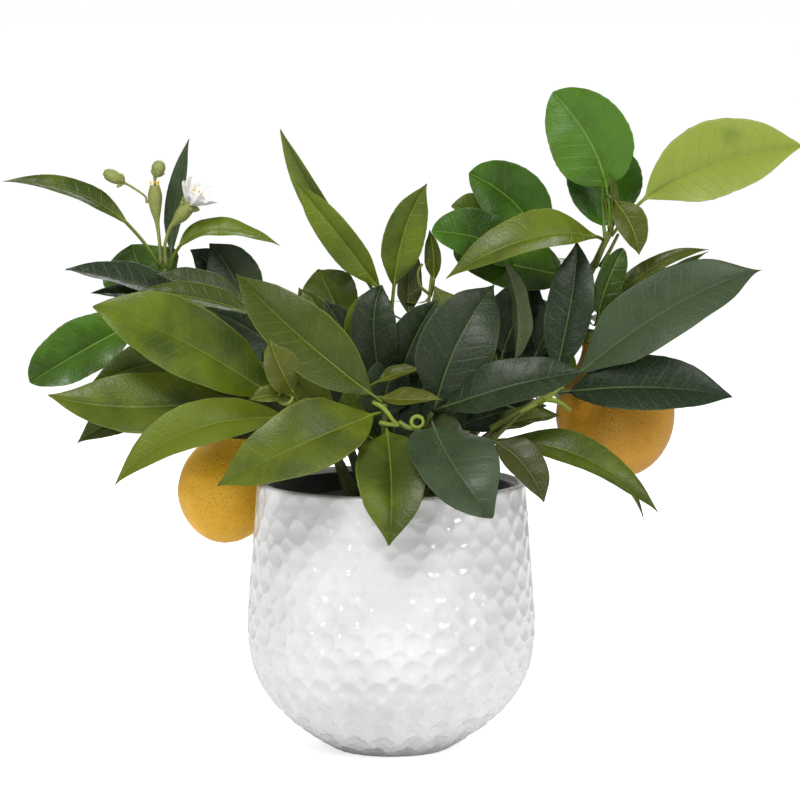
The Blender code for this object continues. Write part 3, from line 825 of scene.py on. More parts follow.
# %% Leaves in the middle
lay_leaves("mid", [
    (OLIVE, (-5, -23, 40), (8, -31, 40), (22, -37, 41), 14, (0, -0.5, 0.85), 0.7),
    (OLIVE, (-6, -14, 46), (3, -16, 50), (13, -17, 52), 9, (0, -0.6, 0.8), 0.4),
    (DARK, (4, -4, 47), (11, -14, 66), (21, -12, 83), 21, (-0.1, -0.97, 0.2), 0.0),
    (DARK, (8, 6, 75), (8, 6, 90), (11, 4, 105), 12, (0.35, -0.9, 0.1), 0.4),
    (OLIVE, (-13, -6, 58), (-13, -8, 73), (-8, -6, 88), 14, (-0.2, -0.95, 0.1), 0.2),
    (OLIVE, (-27, 14, 64), (-36, 16, 76), (-42, 16, 86), 13, (-0.2, -0.95, 0.2), 0.1),
    (DARK, (-17, 4, 58), (-23, 5, 70), (-30, 6, 81), 15, (-0.1, -0.95, 0.2), 0.0),
    (OLIVE, (19, 4, 90), (19, 3, 102), (17, 4, 113), 8, (-0.3, -0.9, 0.1), 0.1),
    (DARK, (16, -8, 44), (28, -6, 60), (34, -4, 78), 19, (0.2, -0.95, 0.2), 0.1),
    (OLIVE, (-10, -20, 22), (-22, -34, 30), (-34, -42, 32), 18, (0, -0.8, 0.6), 0.5),
    (DARK, (10, -16, 24), (20, -34, 26), (34, -44, 22), 20, (0, -0.8, 0.6), 0.3),
    (DARK, (0, -2, 16), (3, -5, 30), (8, -6, 44), 22, (0, -0.9, 0.4), 0.0),
    (DARK, (16, 0, 16), (24, -4, 29), (30, -5, 44), 22, (0.1, -0.9, 0.4), 0.0),
    (OLIVE, (-8, 0, 16), (-15, -4, 30), (-20, -6, 45), 20, (-0.1, -0.9, 0.4), 0.0),
    (DARK, (0, 12, 40), (4, 10, 56), (6, 9, 72), 24, (0, -0.95, 0.3), 0.0),
    (DARK, (-12, 12, 30), (-24, 12, 44), (-34, 11, 60), 24, (-0.1, -0.95, 0.3), 0.0),
    (DARK, (-5, -4, 28), (-2, -6, 44), (4, -6, 60), 22, (0, -0.95, 0.3), 0.0),
    (DARK, (8, 14, 20), (14, 16, 36), (22, 16, 54), 26, (0.1, -0.95, 0.3), 0.0),
])

# %% Leaves on the right
lay_leaves("right", [
    (PALE, (48, 22, 109), (38, 17, 119), (27, 13, 123), 17, (0, -0.9, 0.45), 0.0),
    (BRIGHT, (78, 12, 92), (56, 10, 96), (28, 14, 103), 28, (0, -0.85, 0.5), 0.2),
    (OLIVE, (99, 1, 113), (99, -1, 127), (97, 0, 141), 9, (0.9, -0.4, 0.1), 0.3),
    (OLIVE, (100, 0, 126), (107, -3, 115), (111, -3, 102), 15, (0.2, -0.9, 0.3), 0.3),
    (BRIGHT, (93, -1, 75), (97, -1, 90), (104, 0, 105), 13, (0.3, -0.9, 0.2), 0.1),
    (DARK, (56, -8, 56), (57, -9, 79), (50, -7, 101), 14, (0.75, 0.6, 0.1), 0.6),
    (DARK, (65, -4, 58), (71, -4, 73), (77, -4, 87), 13, (-0.3, -0.9, 0.2), 0.0),
    (DARK, (50, 2, 57), (57, 3, 75), (66, 4, 90), 27, (0, -0.95, 0.25), 0.0),
    (OLIVE, (44, -14, 50), (45, -16, 56), (45, -16, 62), 5, (0, -0.95, 0.2), 0.6),
    (DARK, (46, -41, 22), (59, -49, 13), (67, -54, -3), 18, (0.1, -0.75, 0.65), 0.5),
    (OLIVE, (83, -41, 15), (101, -40, 5), (112, -38, -13), 7, (0.4, -0.3, 0.8), 0.5),
    (OLIVE, (44, -20, 24), (60, -20, 30), (76, -16, 31), 13, (0, -0.6, 0.8), 0.3),
    (DARK, (30, -14, 34), (44, -14, 44), (56, -12, 52), 17, (0, -0.85, 0.5), 0.2),
    (DARK, (30, 2, 24), (50, 2, 30), (70, 0, 34), 18, (0, -0.85, 0.5), 0.0),
    (DARK, (36, 6, 40), (54, 6, 50), (74, 4, 58), 22, (0, -0.9, 0.4), 0.0),
    (OLIVE, (96, 6, 76), (117, 8, 96), (143, 8, 104), 10, (-0.5, -0.7, 0.5), 0.2),
])

# %% Leaves at the back
lay_leaves("back", [
    (OLIVE, (-24, 46, 26), (-46, 62, 26), (-68, 76, 14), 27, (-0.3, 0.7, 0.7), 0.1),
    (DARK, (-33, 57, 44), (-30, 75, 58), (-22, 83, 75), 25, (0.1, 0.9, 0.4), 0.0),
    (OLIVE, (18, 44, 24), (28, 68, 20), (34, 83, 2), 28, (0.1, 0.7, 0.7), 0.2),
    (BRIGHT, (38, 60, 46), (62, 68, 50), (86, 68, 43), 27, (0.2, 0.8, 0.6), 0.0),
    (OLIVE, (36, 58, 46), (28, 73, 64), (20, 80, 82), 25, (0, 0.9, 0.35), 0.1),
    (DARK, (-14, 36, 16), (-14, 64, 20), (-12, 84, 4), 27, (0, 0.7, 0.7), 0.1),
    (OLIVE, (-38, 58, 42), (-62, 61, 50), (-86, 58, 45), 25, (-0.1, 0.85, 0.5), 0.2),
    (BRIGHT, (62, 30, 86), (67, 50, 94), (70, 68, 90), 27, (0.2, 0.6, 0.75), 0.0),
    (BRIGHT, (78, 14, 62), (90, 36, 70), (100, 56, 64), 26, (0.3, 0.6, 0.7), 0.0),
    (DARK, (-62, 22, 64), (-66, 44, 64), (-74, 64, 52), 24, (-0.1, 0.7, 0.7), 0.1),
    (OLIVE, (-80, 30, 74), (-92, 48, 68), (-104, 62, 56), 24, (-0.2, 0.75, 0.6), 0.1),
    (OLIVE, (60, 24, 44), (80, 50, 34), (96, 62, 16), 25, (0.3, 0.75, 0.6), 0.1),
    (DARK, (2, 30, 30), (4, 50, 50), (-4, 62, 66), 24, (0, 0.9, 0.4), 0.0),
    (DARK, (30, 30, 54), (32, 48, 66), (40, 60, 72), 22, (0, 0.85, 0.5), 0.0),
    (OLIVE, (-30, 20, 40), (-40, 40, 52), (-52, 50, 58), 22, (-0.1, 0.85, 0.5), 0.2),
])


# %% [markdown]
# ## The pot
# The pot is glazed stoneware: a round belly, a thin plain lip and a wall pressed all over with
# shallow round dishes in staggered rows. Cutting hundreds of dishes one by one would be slow and
# leave hard edges. Instead the wall is one fine turned shell, and a Geometry Nodes tree presses it in
# wherever it is near one of the points where the dishes belong, a little deeper towards the foot.

# %% Geometry Nodes helpers
def geo(tree, kind, outlet=0, **inputs):
    """One Geometry Nodes node, its named inputs set or linked, and its chosen output."""
    node = tree.nodes.new(kind)
    for label, value in inputs.items():
        join(tree, value, node.inputs[label.replace("_", " ").title()])
    return node.outputs[outlet]


def along_normals(tree, amount):
    """The direction that a surface faces, as long as the amount."""
    node = tree.nodes.new("ShaderNodeVectorMath")
    node.operation = "SCALE"
    join(tree, geo(tree, "GeometryNodeInputNormal"), node.inputs[0])
    join(tree, amount, node.inputs["Scale"])
    return node.outputs[0]


def random_vector(tree, low, high, seed=0):
    node = tree.nodes.new("FunctionNodeRandomValue")
    node.data_type = "FLOAT_VECTOR"
    node.inputs["Min"].default_value, node.inputs["Max"].default_value = low, high
    join(tree, seed, node.inputs["Seed"])
    return node.outputs["Value"]


def joined(tree, *parts):
    node = tree.nodes.new("GeometryNodeJoinGeometry")
    for part in parts:
        tree.links.new(part, node.inputs[0])
    return node.outputs[0]


def finish_tree(tree, geometry, given, result):
    """The end of every tree: real geometry, smooth faces and a material."""
    real = geo(tree, "GeometryNodeRealizeInstances", geometry=geometry)
    soft = geo(tree, "GeometryNodeSetShadeSmooth", geometry=real)
    done = geo(tree, "GeometryNodeSetMaterial", geometry=soft, material=given["Material"])
    join(tree, done, result["Geometry"])


# %% Growing a mesh
def grown_mesh(source, tree, **values):
    """The plain mesh that a tree makes of a source object, which is removed."""
    modifier = source.modifiers.new("tree", "NODES")
    modifier.node_group = tree
    for item in tree.interface.items_tree:
        label = item.name.lower().replace(" ", "_")
        if item.in_out == "INPUT" and label in values:
            modifier[item.identifier] = values[label]
    source.update_tag()
    bpy.context.view_layer.update()
    evaluated = source.evaluated_get(bpy.context.evaluated_depsgraph_get())
    mesh = bpy.data.meshes.new_from_object(evaluated)
    bpy.data.objects.remove(source, do_unlink=True)
    return mesh


def put_grown(name, mesh, slot, replaces=()):
    mesh.name = name
    put_piece(name, mesh, slot, replaces)
    print(name, len(mesh.polygons), "faces")


# %% Profiles of turned pieces
PROFILE_CORNERS = 40


def profile_of(node):
    """(radius, height) of each ring of a turned piece, from the outside of its foot round to its inside."""
    layers = rings_of(node, PROFILE_CORNERS, capped=True)
    rows = [(np.linalg.norm(layer[:, :2], axis=1).mean(), layer[:, 2].mean()) for layer in layers]
    return np.array(rows if rows[0][1] < rows[-1][1] else rows[::-1])


def at_run(profile, spots):
    """Points of a profile at the given distances along it."""
    run = run_of(profile)
    return np.stack([np.interp(spots, run, profile[:, column]) for column in range(2)], axis=-1)


def even_steps(profile, step):
    """The same outline smoothed and resampled at even steps along its length."""
    track = smooth(profile, 40 * len(profile))
    length = run_of(track)[-1]
    return at_run(track, np.linspace(0, length, max(int(length / step), 3)))


def turned_points(profile, segments):
    turn = even_turn(segments)
    ring = np.stack([np.cos(turn), np.sin(turn)], axis=1)
    return np.array([[*(radius * spot), height] for radius, height in profile for spot in ring])


def turned_mesh(profile, segments):
    """Points and faces of a turned piece, closed in the middle of its first and last rings."""
    ends = [[0, 0, profile[0][1]], [0, 0, profile[-1][1]]]
    points = np.concatenate([turned_points(profile, segments), ends])
    return points, loft_faces(len(profile), segments)


pot_profile = profile_of("pot")
lip = int(np.argmax(pot_profile[:, 1]))
outer = even_steps(pot_profile[:lip], 0.9 * MM)
inner = pot_profile[lip:]
print("pot: wall of", len(outer), "rows, lip", np.round(pot_profile[lip] / MM, 1), "mm")

# %% Where the dishes belong
DISH_GAP = 13.0 * MM
DISH_ROWS = 12
LOWEST_DISH = 5.0 * MM
PLAIN_LIP = 6.5 * MM
LARGE_DISH = {"dish_radius": 5.2 * MM, "depth": 1.0 * MM}
SMALL_DISH = {"dish_radius": 3.4 * MM, "depth": 0.6 * MM}


def dish_centres(profile, start):
    """Points in rows on the wall; each row holds as many as its girth has room for."""
    rng = random.Random("dishes %d" % start)
    row_gap = (run_of(profile)[-1] - LOWEST_DISH - PLAIN_LIP) / (DISH_ROWS - 1)
    centres = []
    for row in range(DISH_ROWS - start):
        radius, height = at_run(profile, LOWEST_DISH + (row + start / 2) * row_gap)
        around = max(round(math.tau * radius / DISH_GAP), 5)
        for step in range(around):
            angle = math.tau * (step + 0.5 * start + rng.uniform(-0.08, 0.08)) / around
            level = height + rng.uniform(-0.6, 0.6) * MM
            centres.append((radius * math.cos(angle), radius * math.sin(angle), level))
    return centres


large_centres, small_centres = dish_centres(outer, 0), dish_centres(outer, 1)
print(len(large_centres), "large dishes and", len(small_centres), "small ones between their rows")

# %% Tree that presses the dishes
press, given, result = new_group(
    "pressed wall",
    {"Geometry": "Geometry", "Dishes": "Object", "Dish Radius": 5.0 * MM, "Depth": 0.9 * MM,
     "Material": "Material"},
    {"Geometry": "Geometry"}, kind="GeometryNodeTree")
near = press.nodes.new("GeometryNodeProximity")
near.target_element = "POINTS"
join(press, geo(press, "GeometryNodeObjectInfo", "Geometry", object=given["Dishes"]), near.inputs[0])
away = calc(press, "DIVIDE", near.outputs["Distance"], given["Dish Radius"])
place = geo(press, "GeometryNodeInputPosition")
low_is_deeper = fade(press, split(press, place)[2], 20 * MM, 110 * MM, 1.5, 0.75)
uneven = times(press, scaled(press, noise(press, place, 55.0), 0.7, 0.65), low_is_deeper)
bowl = calc(press, "MAXIMUM", minus(press, 1.0, times(press, away, away)), 0.0)
from_lip = minus(press, away, 1.06)
crest = calc(press, "EXPONENT", times(press, times(press, from_lip, from_lip), -28.0))
shape = minus(press, times(press, crest, 0.16), calc(press, "POWER", bowl, 0.95))
wall = press.nodes.new("GeometryNodeInputNamedAttribute")
wall.data_type = "FLOAT"
wall.inputs["Name"].default_value = "wall"
depth = times(press, given["Depth"], wall.outputs["Attribute"])
push = along_normals(press, times(press, times(press, shape, uneven), depth))
pressed = geo(press, "GeometryNodeSetPosition", geometry=given["Geometry"], offset=push)
finish_tree(press, pressed, given, result)
print("press tree:", len(press.nodes), "nodes")

# %% [markdown]
# The glaze is thick and glossy, with a faint orange-peel ripple and a few pin specks. Its white
# clouds over a little from place to place.


# %% Glaze
def glaze_finish():
    material, tree = new_finish("white glaze", coat_weight=0.6, coat_roughness=0.06)
    place = here(tree)
    cloud = fade(tree, noise(tree, place, 30.0, 4.0), 0.3, 0.7)
    skin = colour_mix(tree, cloud, paint(205, 205, 206), paint(219, 219, 219))
    speck = fade(tree, cells(tree, place, 260.0), 0.05, 0.12, 0.25, 0.0)
    skin = colour_mix(tree, speck, skin, paint(176, 174, 170))
    ripple = plus(tree, noise(tree, place, 240.0, 2.0), times(tree, noise(tree, place, 900.0, 2.0), 0.25))
    return dress(material, skin, ripple, 0.4 * MM, 0.45, scaled(tree, noise(tree, place, 120.0), 0.12, 0.12))


# %% Turn and press the pot
def add_pot():
    columns_round = 432
    under = [(share * outer[0][0], 0.0) for share in (0.08, 0.5, 0.9)]
    inside = even_steps(inner[:-1], 6 * MM)
    floor_radius, floor_height = inner[-1]
    floor = [(floor_radius * 0.5, floor_height), (1 * MM, floor_height)]
    rows = np.array([*under, *outer, *inside, *floor])
    shell = new_mesh("pot shell", *turned_mesh(rows, columns_round))
    on_wall = np.zeros(len(shell.vertices), np.float32)
    on_wall[len(under) * columns_round:(len(under) + len(outer)) * columns_round] = 1.0
    shell.attributes.new("wall", "FLOAT", "POINT").data.foreach_set("value", on_wall)
    face_outwards(shell)
    glaze = glaze_finish()
    for centres, sizes in ((large_centres, LARGE_DISH), (small_centres, SMALL_DISH)):
        dishes = plain_object("dish centres", new_mesh("dish centres", centres))
        shell = grown_mesh(plain_object("pot shell", shell), press, dishes=dishes, material=glaze, **sizes)
        bpy.data.objects.remove(dishes, do_unlink=True)
    put_grown("dimpled_pot", shell, "pot_glaze", ["pot"])


add_pot()


# %% [markdown]
# ## Liner and soil
# The plant sits in a thin black grower's pot. Its rim shows as a dark line just inside the glazed
# lip. The soil is crumbly: a rough crowned surface with hundreds of chips of bark and peat, which a
# Geometry Nodes tree scatters, turns and dents.

# %% Liner
def liner_finish():
    material, tree = new_finish("black liner", specular_ior_level=0.35)
    place = here(tree)
    dust = fade(tree, noise(tree, place, 90.0, 5.0), 0.5, 0.75)
    skin = colour_mix(tree, dust, paint(20, 20, 20), paint(44, 41, 37))
    grain = noise(tree, place, 1400.0, 2.0)
    return dress(material, skin, grain, 0.2 * MM, 0.6, scaled(tree, dust, 0.25, 0.5))


liner_profile = profile_of("liner")
steps = [np.linspace(low, high, 8, endpoint=False) for low, high in zip(liner_profile, liner_profile[1:])]
liner_rows = np.concatenate([*steps, liner_profile[-1:]])
add_piece("grower_liner", *turned_mesh(liner_rows, 144), liner_finish(), "liner_plastic", ["liner"])
print("liner rim at", round(liner_profile[:, 1].max() / MM, 1), "mm")


# %% Soil finish
def soil_finish():
    material, tree = new_finish("potting soil", roughness=0.95)
    place = here(tree)
    crumb = cells(tree, place, 340.0)
    skin = colour_mix(tree, noise(tree, place, 150.0, 5.0), paint(38, 28, 19), paint(84, 63, 42))
    skin = colour_mix(tree, fade(tree, crumb, 0.1, 0.6), skin, paint(28, 21, 15))
    moss = fade(tree, noise(tree, place, 46.0, 4.0), 0.56, 0.66, 0.0, 0.8)
    skin = colour_mix(tree, moss, skin, paint(66, 74, 34))
    return dress(material, skin, plus(tree, crumb, noise(tree, place, 900.0)), 0.6 * MM, 0.9)


# %% Tree that scatters the chips
scatter, given, result = new_group(
    "soil chips",
    {"Geometry": "Geometry", "Per Square Metre": 130000.0, "Chip Size": 1.1 * MM, "Seed": 7,
     "Material": "Material"},
    {"Geometry": "Geometry"}, kind="GeometryNodeTree")
facing_up = split(scatter, geo(scatter, "GeometryNodeInputNormal"))[2]
lie = geo(scatter, "GeometryNodeDistributePointsOnFaces", "Points", mesh=given["Geometry"],
          density=given["Per Square Metre"], seed=given["Seed"],
          selection=calc(scatter, "GREATER_THAN", facing_up, 0.6))
chip = geo(scatter, "GeometryNodeMeshIcoSphere", radius=1.0, subdivisions=1)
turn = random_vector(scatter, (0, 0, 0), (math.tau, math.tau, math.tau))
size = random_vector(scatter, (0.5, 0.5, 0.3), (2.0, 1.3, 0.8), given["Seed"])
chips = geo(scatter, "GeometryNodeInstanceOnPoints", points=lie, instance=chip, rotation=turn, scale=size)
small = geo(scatter, "GeometryNodeScaleInstances", instances=chips, scale=given["Chip Size"])
real = geo(scatter, "GeometryNodeRealizeInstances", geometry=small)
dent = times(scatter, noise(scatter, geo(scatter, "GeometryNodeInputPosition"), 900.0), 0.5 * MM)
dented = geo(scatter, "GeometryNodeSetPosition", geometry=real, offset=along_normals(scatter, dent))
finish_tree(scatter, joined(scatter, given["Geometry"], dented), given, result)
print("soil tree:", len(scatter.nodes), "nodes")


# %% Lay the soil
GAP_TO_LINER = 0.4 * MM
HEAP_HEIGHT = 0.45 * MM
CRUMB_HEIGHT = 0.25 * MM


def add_soil():
    """A crowned bed with a rough top, closed underneath, and then its chips."""
    rings, around = 26, 96
    soil_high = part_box("soil")[1]
    radius = soil_high.x - GAP_TO_LINER
    crown = 5.0 * MM
    edge = soil_high.z - crown
    bottom = edge - 10 * MM
    shares = [max(row / rings, 0.02) for row in range(rings + 1)]
    rows = [(radius * share, edge + crown * (1 - share ** 2)) for share in shares]
    rows += [(radius * 0.98, bottom), (radius * 0.02, bottom)]
    points, faces = turned_mesh(rows, around)
    top = (rings + 1) * around
    x, y = points[:top, 0], points[:top, 1]
    heaps = np.sin(x / (6.1 * MM) + 1.3) * np.sin(y / (5.3 * MM))
    heaps += 0.6 * np.sin(x / (2.9 * MM) + y / (3.4 * MM))
    fade_out = np.minimum(1, (radius - np.hypot(x, y)) / (4 * MM))
    crumbs = np.random.default_rng(11).uniform(-CRUMB_HEIGHT, CRUMB_HEIGHT, top)
    points[:top, 2] += HEAP_HEIGHT * heaps * fade_out + crumbs
    points[-2, 2] = edge + crown
    bed = plain_object("soil bed", new_mesh("soil bed", points, faces))
    mesh = grown_mesh(bed, scatter, per_square_metre=130000.0, chip_size=1.1 * MM, seed=7,
                      material=soil_finish())
    put_grown("crumbly_soil", mesh, "soil", ["soil"])


add_soil()


# %% [markdown]
# ## Lemons
# A lemon's peel is full of oil glands, which show as close fine dimples, and the fruit swells
# unevenly and puckers towards its neck. The model gives the axis and outline. The fine fruit follows
# them with low lumps and ribs, and the peel's pores are left to the material.


# %% Peel finish
def peel_finish(low, high, ripe_and_shaded):
    """Yellow peel mixed towards a deep orange, a little more above the first height than below it; this is
    partly ripening and partly painted shade from the leaves above.
    """
    material, tree = new_finish("lemon peel", specular_ior_level=0.3, coat_weight=0.03)
    place = here(tree)
    pore = fade(tree, cells(tree, place, 620.0), 0.04, 0.42, 1.0, 0.0)
    big_pore = fade(tree, cells(tree, place, 330.0), 0.02, 0.22, 1.0, 0.0)
    cloud = fade(tree, noise(tree, place, 42.0, 4.0), 0.3, 0.7)
    skin = colour_mix(tree, cloud, paint(226, 170, 30), paint(243, 190, 54))
    # Painted shade: the mix to dark orange stands partly for ripening and partly for the shade of the leaves
    # over the fruit.
    ripeness_and_shade = fade(tree, split(tree, place)[2], low, high, ripe_and_shaded * 0.62, ripe_and_shaded * 0.75)
    skin = colour_mix(tree, ripeness_and_shade, skin, paint(132, 80, 2))
    skin = colour_mix(tree, times(tree, pore, 0.2), skin, paint(180, 122, 14))
    pits = plus(tree, times(tree, pore, -0.7), times(tree, big_pore, -0.6))
    relief = plus(tree, pits, times(tree, noise(tree, place, 1600.0, 2.0), 0.35))
    return dress(material, skin, relief, 0.6 * MM, 0.75, scaled(tree, noise(tree, place, 300.0), 0.2, 0.42))


# %% Shape a lemon
CROSSWAYS = (0.0, 1.0, 0.2)


def add_lemon(node, ripe_and_shaded):
    layers = rings_of(node, 24)
    if np.ptp(layers[1], axis=0).max() < np.ptp(layers[-2], axis=0).max():
        layers = layers[::-1]
    bottom, top = layers[0][0], layers[-1][0]
    axis = unit(top - bottom)
    rows, around = 88, 96
    line = smooth([layer.mean(axis=0) for layer in layers], rows)
    radii = np.maximum(smooth(radii_of(layers), rows), 0.05 * MM)[:, None]
    side, other = square_to(axis, CROSSWAYS)
    turn = even_turn(around)[None, :]
    height = np.linspace(0, 1, rows)[:, None]
    start = random.Random(node).uniform(0, math.tau)
    lumps = 0.012 * np.sin(3 * turn + start + 5 * height) + 0.010 * np.sin(5 * turn - 7 * height + start)
    lumps = (lumps + 0.006 * np.sin(9 * turn + 11 * height)) * np.sin(math.pi * height)
    ribs = 0.05 * np.sin(7 * turn + start) * np.clip((height - 0.68) / 0.25, 0, 1)
    reach = radii * (1 + lumps + ribs - 0.006)
    rings = line[:, None] + reach[..., None] * round_about(turn, side, other)
    peel = peel_finish(bottom[2] + 30 * MM, top[2], ripe_and_shaded)
    loft("fine_" + node, np.array([bottom, top]), rings, peel, "lemon_peel", [node])
    return top, axis


# The right lemon, hanging in the leaves' shade, gets the full mix, which is partly painted shade.
NECKS = {node: add_lemon(node, ripe_and_shaded) for node, ripe_and_shaded in (("lemon_right", 1.0), ("lemon_left", 0.15))}
print("lemons hang from", {node: [round(float(v) / MM) for v in top] for node, (top, axis) in NECKS.items()})

# %% Star calyx on each lemon
ARMS = 5
CUP = ((0.25, 1.5), (0.55, 1.35), (0.8, 0.95), (1.0, 0.1), (0.92, -0.35), (0.6, 0.35), (0.25, 0.6))


def add_star(name, centre, axis, radius, material, slot):
    """A small green star with rounded arms, cupped round the neck of a fruit or the foot of a flower."""
    side, other = square_to(axis, CROSSWAYS)
    turn = even_turn(60)
    arm = 0.42 * np.cos(ARMS * turn)
    rings = []
    for reach, height in CUP:
        spread = radius * reach * (1 + arm * reach ** 2)
        drop = radius * 0.55 * (height - 0.5 * arm * reach ** 2)
        rings.append(centre + spread[:, None] * round_about(turn, side, other) + drop[:, None] * axis)
    rings = np.array(rings)
    loft(name, rings.mean(axis=1), rings, material, slot)


for node, (top, axis) in NECKS.items():
    add_star("calyx_" + node, top - axis * 0.6 * MM, axis, 4.2 * MM, STALK_FINISH, "stem")


# %% [markdown]
# ## Blossom sprig
# At the left a sprig carries one open flower, one that has dropped its petals and two buds. The
# flower has five fleshy white petals round a brush of stamens. The petals are small cupped blades,
# made by the same steps as a leaf, and the stamens are one stamen repeated round a ring by a tree.

# %% Petal and bud finishes
def petal_finish():
    material, tree = new_finish("white petal", roughness=0.5, specular_ior_level=0.3)
    from_rib, along = split(tree, attribute(tree, "follow"))[:2]
    streaks = calc(tree, "SINE", times(tree, from_rib, 9.0))
    shade = fade(tree, streaks, 0.2, 1.0, 0.0, 0.5)
    skin = colour_mix(tree, shade, paint(240, 238, 236), paint(224, 222, 220))
    skin = colour_mix(tree, fade(tree, along, 0.3, 3.5, 0.7, 0.0), skin, paint(196, 200, 150))
    return dress(material, skin, plus(tree, streaks, noise(tree, here(tree), 1200.0)), 0.2 * MM, 0.5)


def bud_finish(name, low, high):
    material, tree = new_finish(name, roughness=0.55, specular_ior_level=0.35)
    place = here(tree)
    speck = cells(tree, place, 1500.0)
    skin = colour_mix(tree, noise(tree, place, 260.0, 4.0), low, high)
    skin = colour_mix(tree, fade(tree, speck, 0.08, 0.2, 0.5, 0.0), skin, paint(84, 92, 40))
    return dress(material, skin, plus(tree, speck, noise(tree, place, 900.0)), 0.3 * MM, 0.6)


PETAL = petal_finish()
BUD = bud_finish("green bud", paint(108, 116, 54), paint(146, 150, 84))
ANTHER = bud_finish("yellow anther", paint(196, 168, 74), paint(224, 204, 120))

# %% Calyx, buds and spent flower
BUD_LINES = {}
for node, slot in SLOT_OF.items():
    if slot == "bud":
        middle, radii = middle_of(rings_of(node, 8, capped=True))
        add_tube("fine_" + node, middle, radii, BUD, slot, replaces=[node], corners=20, joints=False)
        BUD_LINES[node] = middle
        if node.startswith("bud"):
            tip_way = unit(middle[-1] - middle[-2])
            seat = middle[max(int(np.argmax(radii)) - 1, 0)]
            add_star("star_" + node, seat + tip_way * 0.3 * MM, -tip_way, 2.6 * MM, BUD, slot)
print(len(BUD_LINES), "pieces of the sprig")

# %% Feet of the buds
spent = smooth(BUD_LINES["spent_blossom"], 60)
for node in ("bud_left", "bud_top"):
    foot, next_up = BUD_LINES[node][:2]
    near = spent[np.argmin(np.linalg.norm(spent - foot, axis=1))]
    line = np.array([near, (near + foot) / 2, foot + unit(next_up - foot) * MM])
    add_tube("foot_" + node, line, np.full(3, 0.75 * MM), BUD, "bud", corners=10, joints=False)
    print(node, "joins the sprig at", np.round(near / MM))

# %% Petals
seat = BUD_LINES["blossom_calyx"][-1]
low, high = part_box("blossom_petals")
axis = unit(np.array((low + high) / 2) - seat)
side, other = square_to(axis, (0.0, 1.0, 0.0))
OPENNESS = (1.0, 0.7, 1.05, 0.85, 0.95)
PETAL_WIDTH = 8.6 * MM
for step, wide in enumerate(OPENNESS):
    angle = math.tau * step / len(OPENNESS) + 0.5
    out = math.cos(angle) * side + math.sin(angle) * other
    places = ((0.8, 0.0), (1.4, 0.8), (4.4 + 2.0 * wide, 5.4), (9.2 * wide, 12.2 - 3.0 * wide))
    root, base, middle, tip = (seat + (out * sideways + axis * rise) * MM for sideways, rise in places)
    stations = bent_stations(root, base, middle, tip, PETAL_WIDTH, axis * 0.8 - out * 0.6, (0.6, 0.5))
    hidden = ["blossom_petals"] if step == 0 else ()
    add_leaf("petal_%d" % step, stations, PETAL, "petal", hidden, waves=1.4, pointed=0.0)
add_star("star_blossom", seat - axis * 0.4 * MM, -axis, 3.8 * MM, BUD, "bud")
print(len(OPENNESS), "petals")

# %% Tree of stamens
brush, given, result = new_group(
    "stamens",
    {"Geometry": "Geometry", "Count": 12, "Ring": 1.5 * MM, "Height": 6.5 * MM, "Material": "Material"},
    {"Geometry": "Geometry"}, kind="GeometryNodeTree")
ring = geo(brush, "GeometryNodeMeshCircle", vertices=given["Count"], radius=given["Ring"])
thread = geo(brush, "GeometryNodeMeshCone", vertices=6, radius_top=0.16 * MM, radius_bottom=0.24 * MM,
             depth=given["Height"])
head = geo(brush, "GeometryNodeMeshIcoSphere", radius=0.55 * MM, subdivisions=2)
rise = geo(brush, "ShaderNodeCombineXYZ", z=given["Height"])
long_head = geo(brush, "GeometryNodeTransform", geometry=head, translation=rise, scale=(0.8, 0.8, 1.7))
lean = random_vector(brush, (-0.22, -0.22, 0.0), (0.22, 0.22, 3.0))
grow = geo(brush, "GeometryNodeInstanceOnPoints", points=ring, instance=joined(brush, thread, long_head),
           rotation=lean)
finish_tree(brush, grow, given, result)


# %% Stamens of the open and of the spent flower
def stamens(**sizes):
    start = plain_object("stamen start", new_mesh("stamen start", [(0, 0, 0)]))
    return grown_mesh(start, brush, material=ANTHER, **sizes)


open_brush = stamens(count=12, ring=1.5 * MM, height=6.0 * MM)
stand = Vector(axis).to_track_quat("Z", "Y").to_matrix().to_4x4()
stand.translation = Vector(seat + axis * 0.5 * MM)
open_brush.transform(stand)
put_grown("stamens", open_brush, "bud")
left_over = stamens(count=7, ring=2.0 * MM, height=2.4 * MM)
left_over.transform(Matrix.Translation(Vector(spent[-1] - unit(spent[-1] - spent[-2]) * 1.2 * MM)))
put_grown("spent_stamens", left_over, "bud")
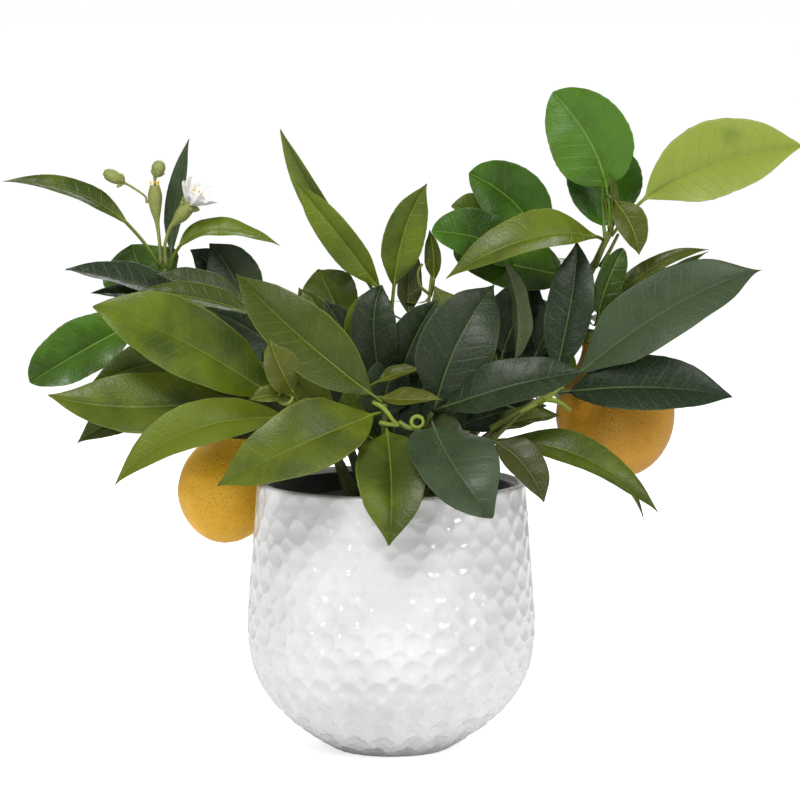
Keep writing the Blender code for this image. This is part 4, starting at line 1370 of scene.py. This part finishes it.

# %% [markdown]
# ## Curls and stalks
# Young citrus shoots carry pale curls and bare stalks where the leaves crowd together. They are thin
# tubes along a few given points, in the same measure as the leaves.


# %% Curls, knots and bare stalks
CURL_TURNS = 1.15
CURL_STEPS = 12


def curl(centre, radius):
    """Points of a curl that leans half as far back as it is wide."""
    x, y, height = centre
    around = [0.4 + math.tau * CURL_TURNS * step / CURL_STEPS for step in range(CURL_STEPS + 1)]
    return [(x + radius * math.cos(t), y + 0.5 * radius * math.sin(t), height + 0.9 * radius * math.sin(t))
            for t in around]


# Each shoot has its points and, in millimetres, its radius.
SHOOTS = {
    "curl_middle": (curl((11.5, -40, 31), 2.6), 0.85),
    "curl_left": (curl((-46.5, -42, 42), 3.0), 0.9),
    "knot_a": ([(-8, -31, 39), (-3, -34, 36), (1, -36, 31), (3.5, -36, 29)], 1.1),
    "knot_b": ([(-5, -35, 30), (-1, -37, 29.5), (3.5, -37, 29)], 1.1),
    "knot_c": ([(3.5, -34, 30), (8, -37, 28), (13, -39, 28)], 1.2),
    "fork_up": ([(64, -16, 36), (70, -20, 40), (76, -21, 46), (81, -21, 51)], 1.2),
    "fork_low": ([(68, -19, 39), (74, -21, 38), (80, -22, 34)], 1.2),
    "fork_side": ([(44, -22, 26), (54, -20, 31), (64, -17, 36), (70, -19, 40)], 1.3),
    "fruit_shoot": ([(92, 6, 62), (94, 4, 68), (97, 5, 75)], 1.3),
    "bare_a": ([(92, 6, 96), (95, 4, 104), (99, 3, 112)], 0.9),
    "bare_b": ([(94, 8, 96), (98, 6, 103), (102, 5, 111)], 0.9),
    "brown_low": ([(44, -30, 21), (50, -31, 27), (57, -32, 34)], 1.1),
    "mid_shoot": ([(16, 2, 72), (17, 3, 82), (18, 4, 92)], 0.8),
    "mid_curl": ([(17, 3, 84), (13, 1, 88), (12, 0, 94), (14, 0, 98)], 0.7),
}
for name, (points, radius) in SHOOTS.items():
    line = np.array([plant_point(point) for point in points])
    radii = np.linspace(1.1, 0.8, len(line)) * radius * MM
    young = name.startswith(("curl", "knot", "fork"))
    add_tube(name, line, radii, CURL_FINISH if young else STALK_FINISH, "stem", corners=10, joints=False)
print(len(SHOOTS), "curls and stalks")
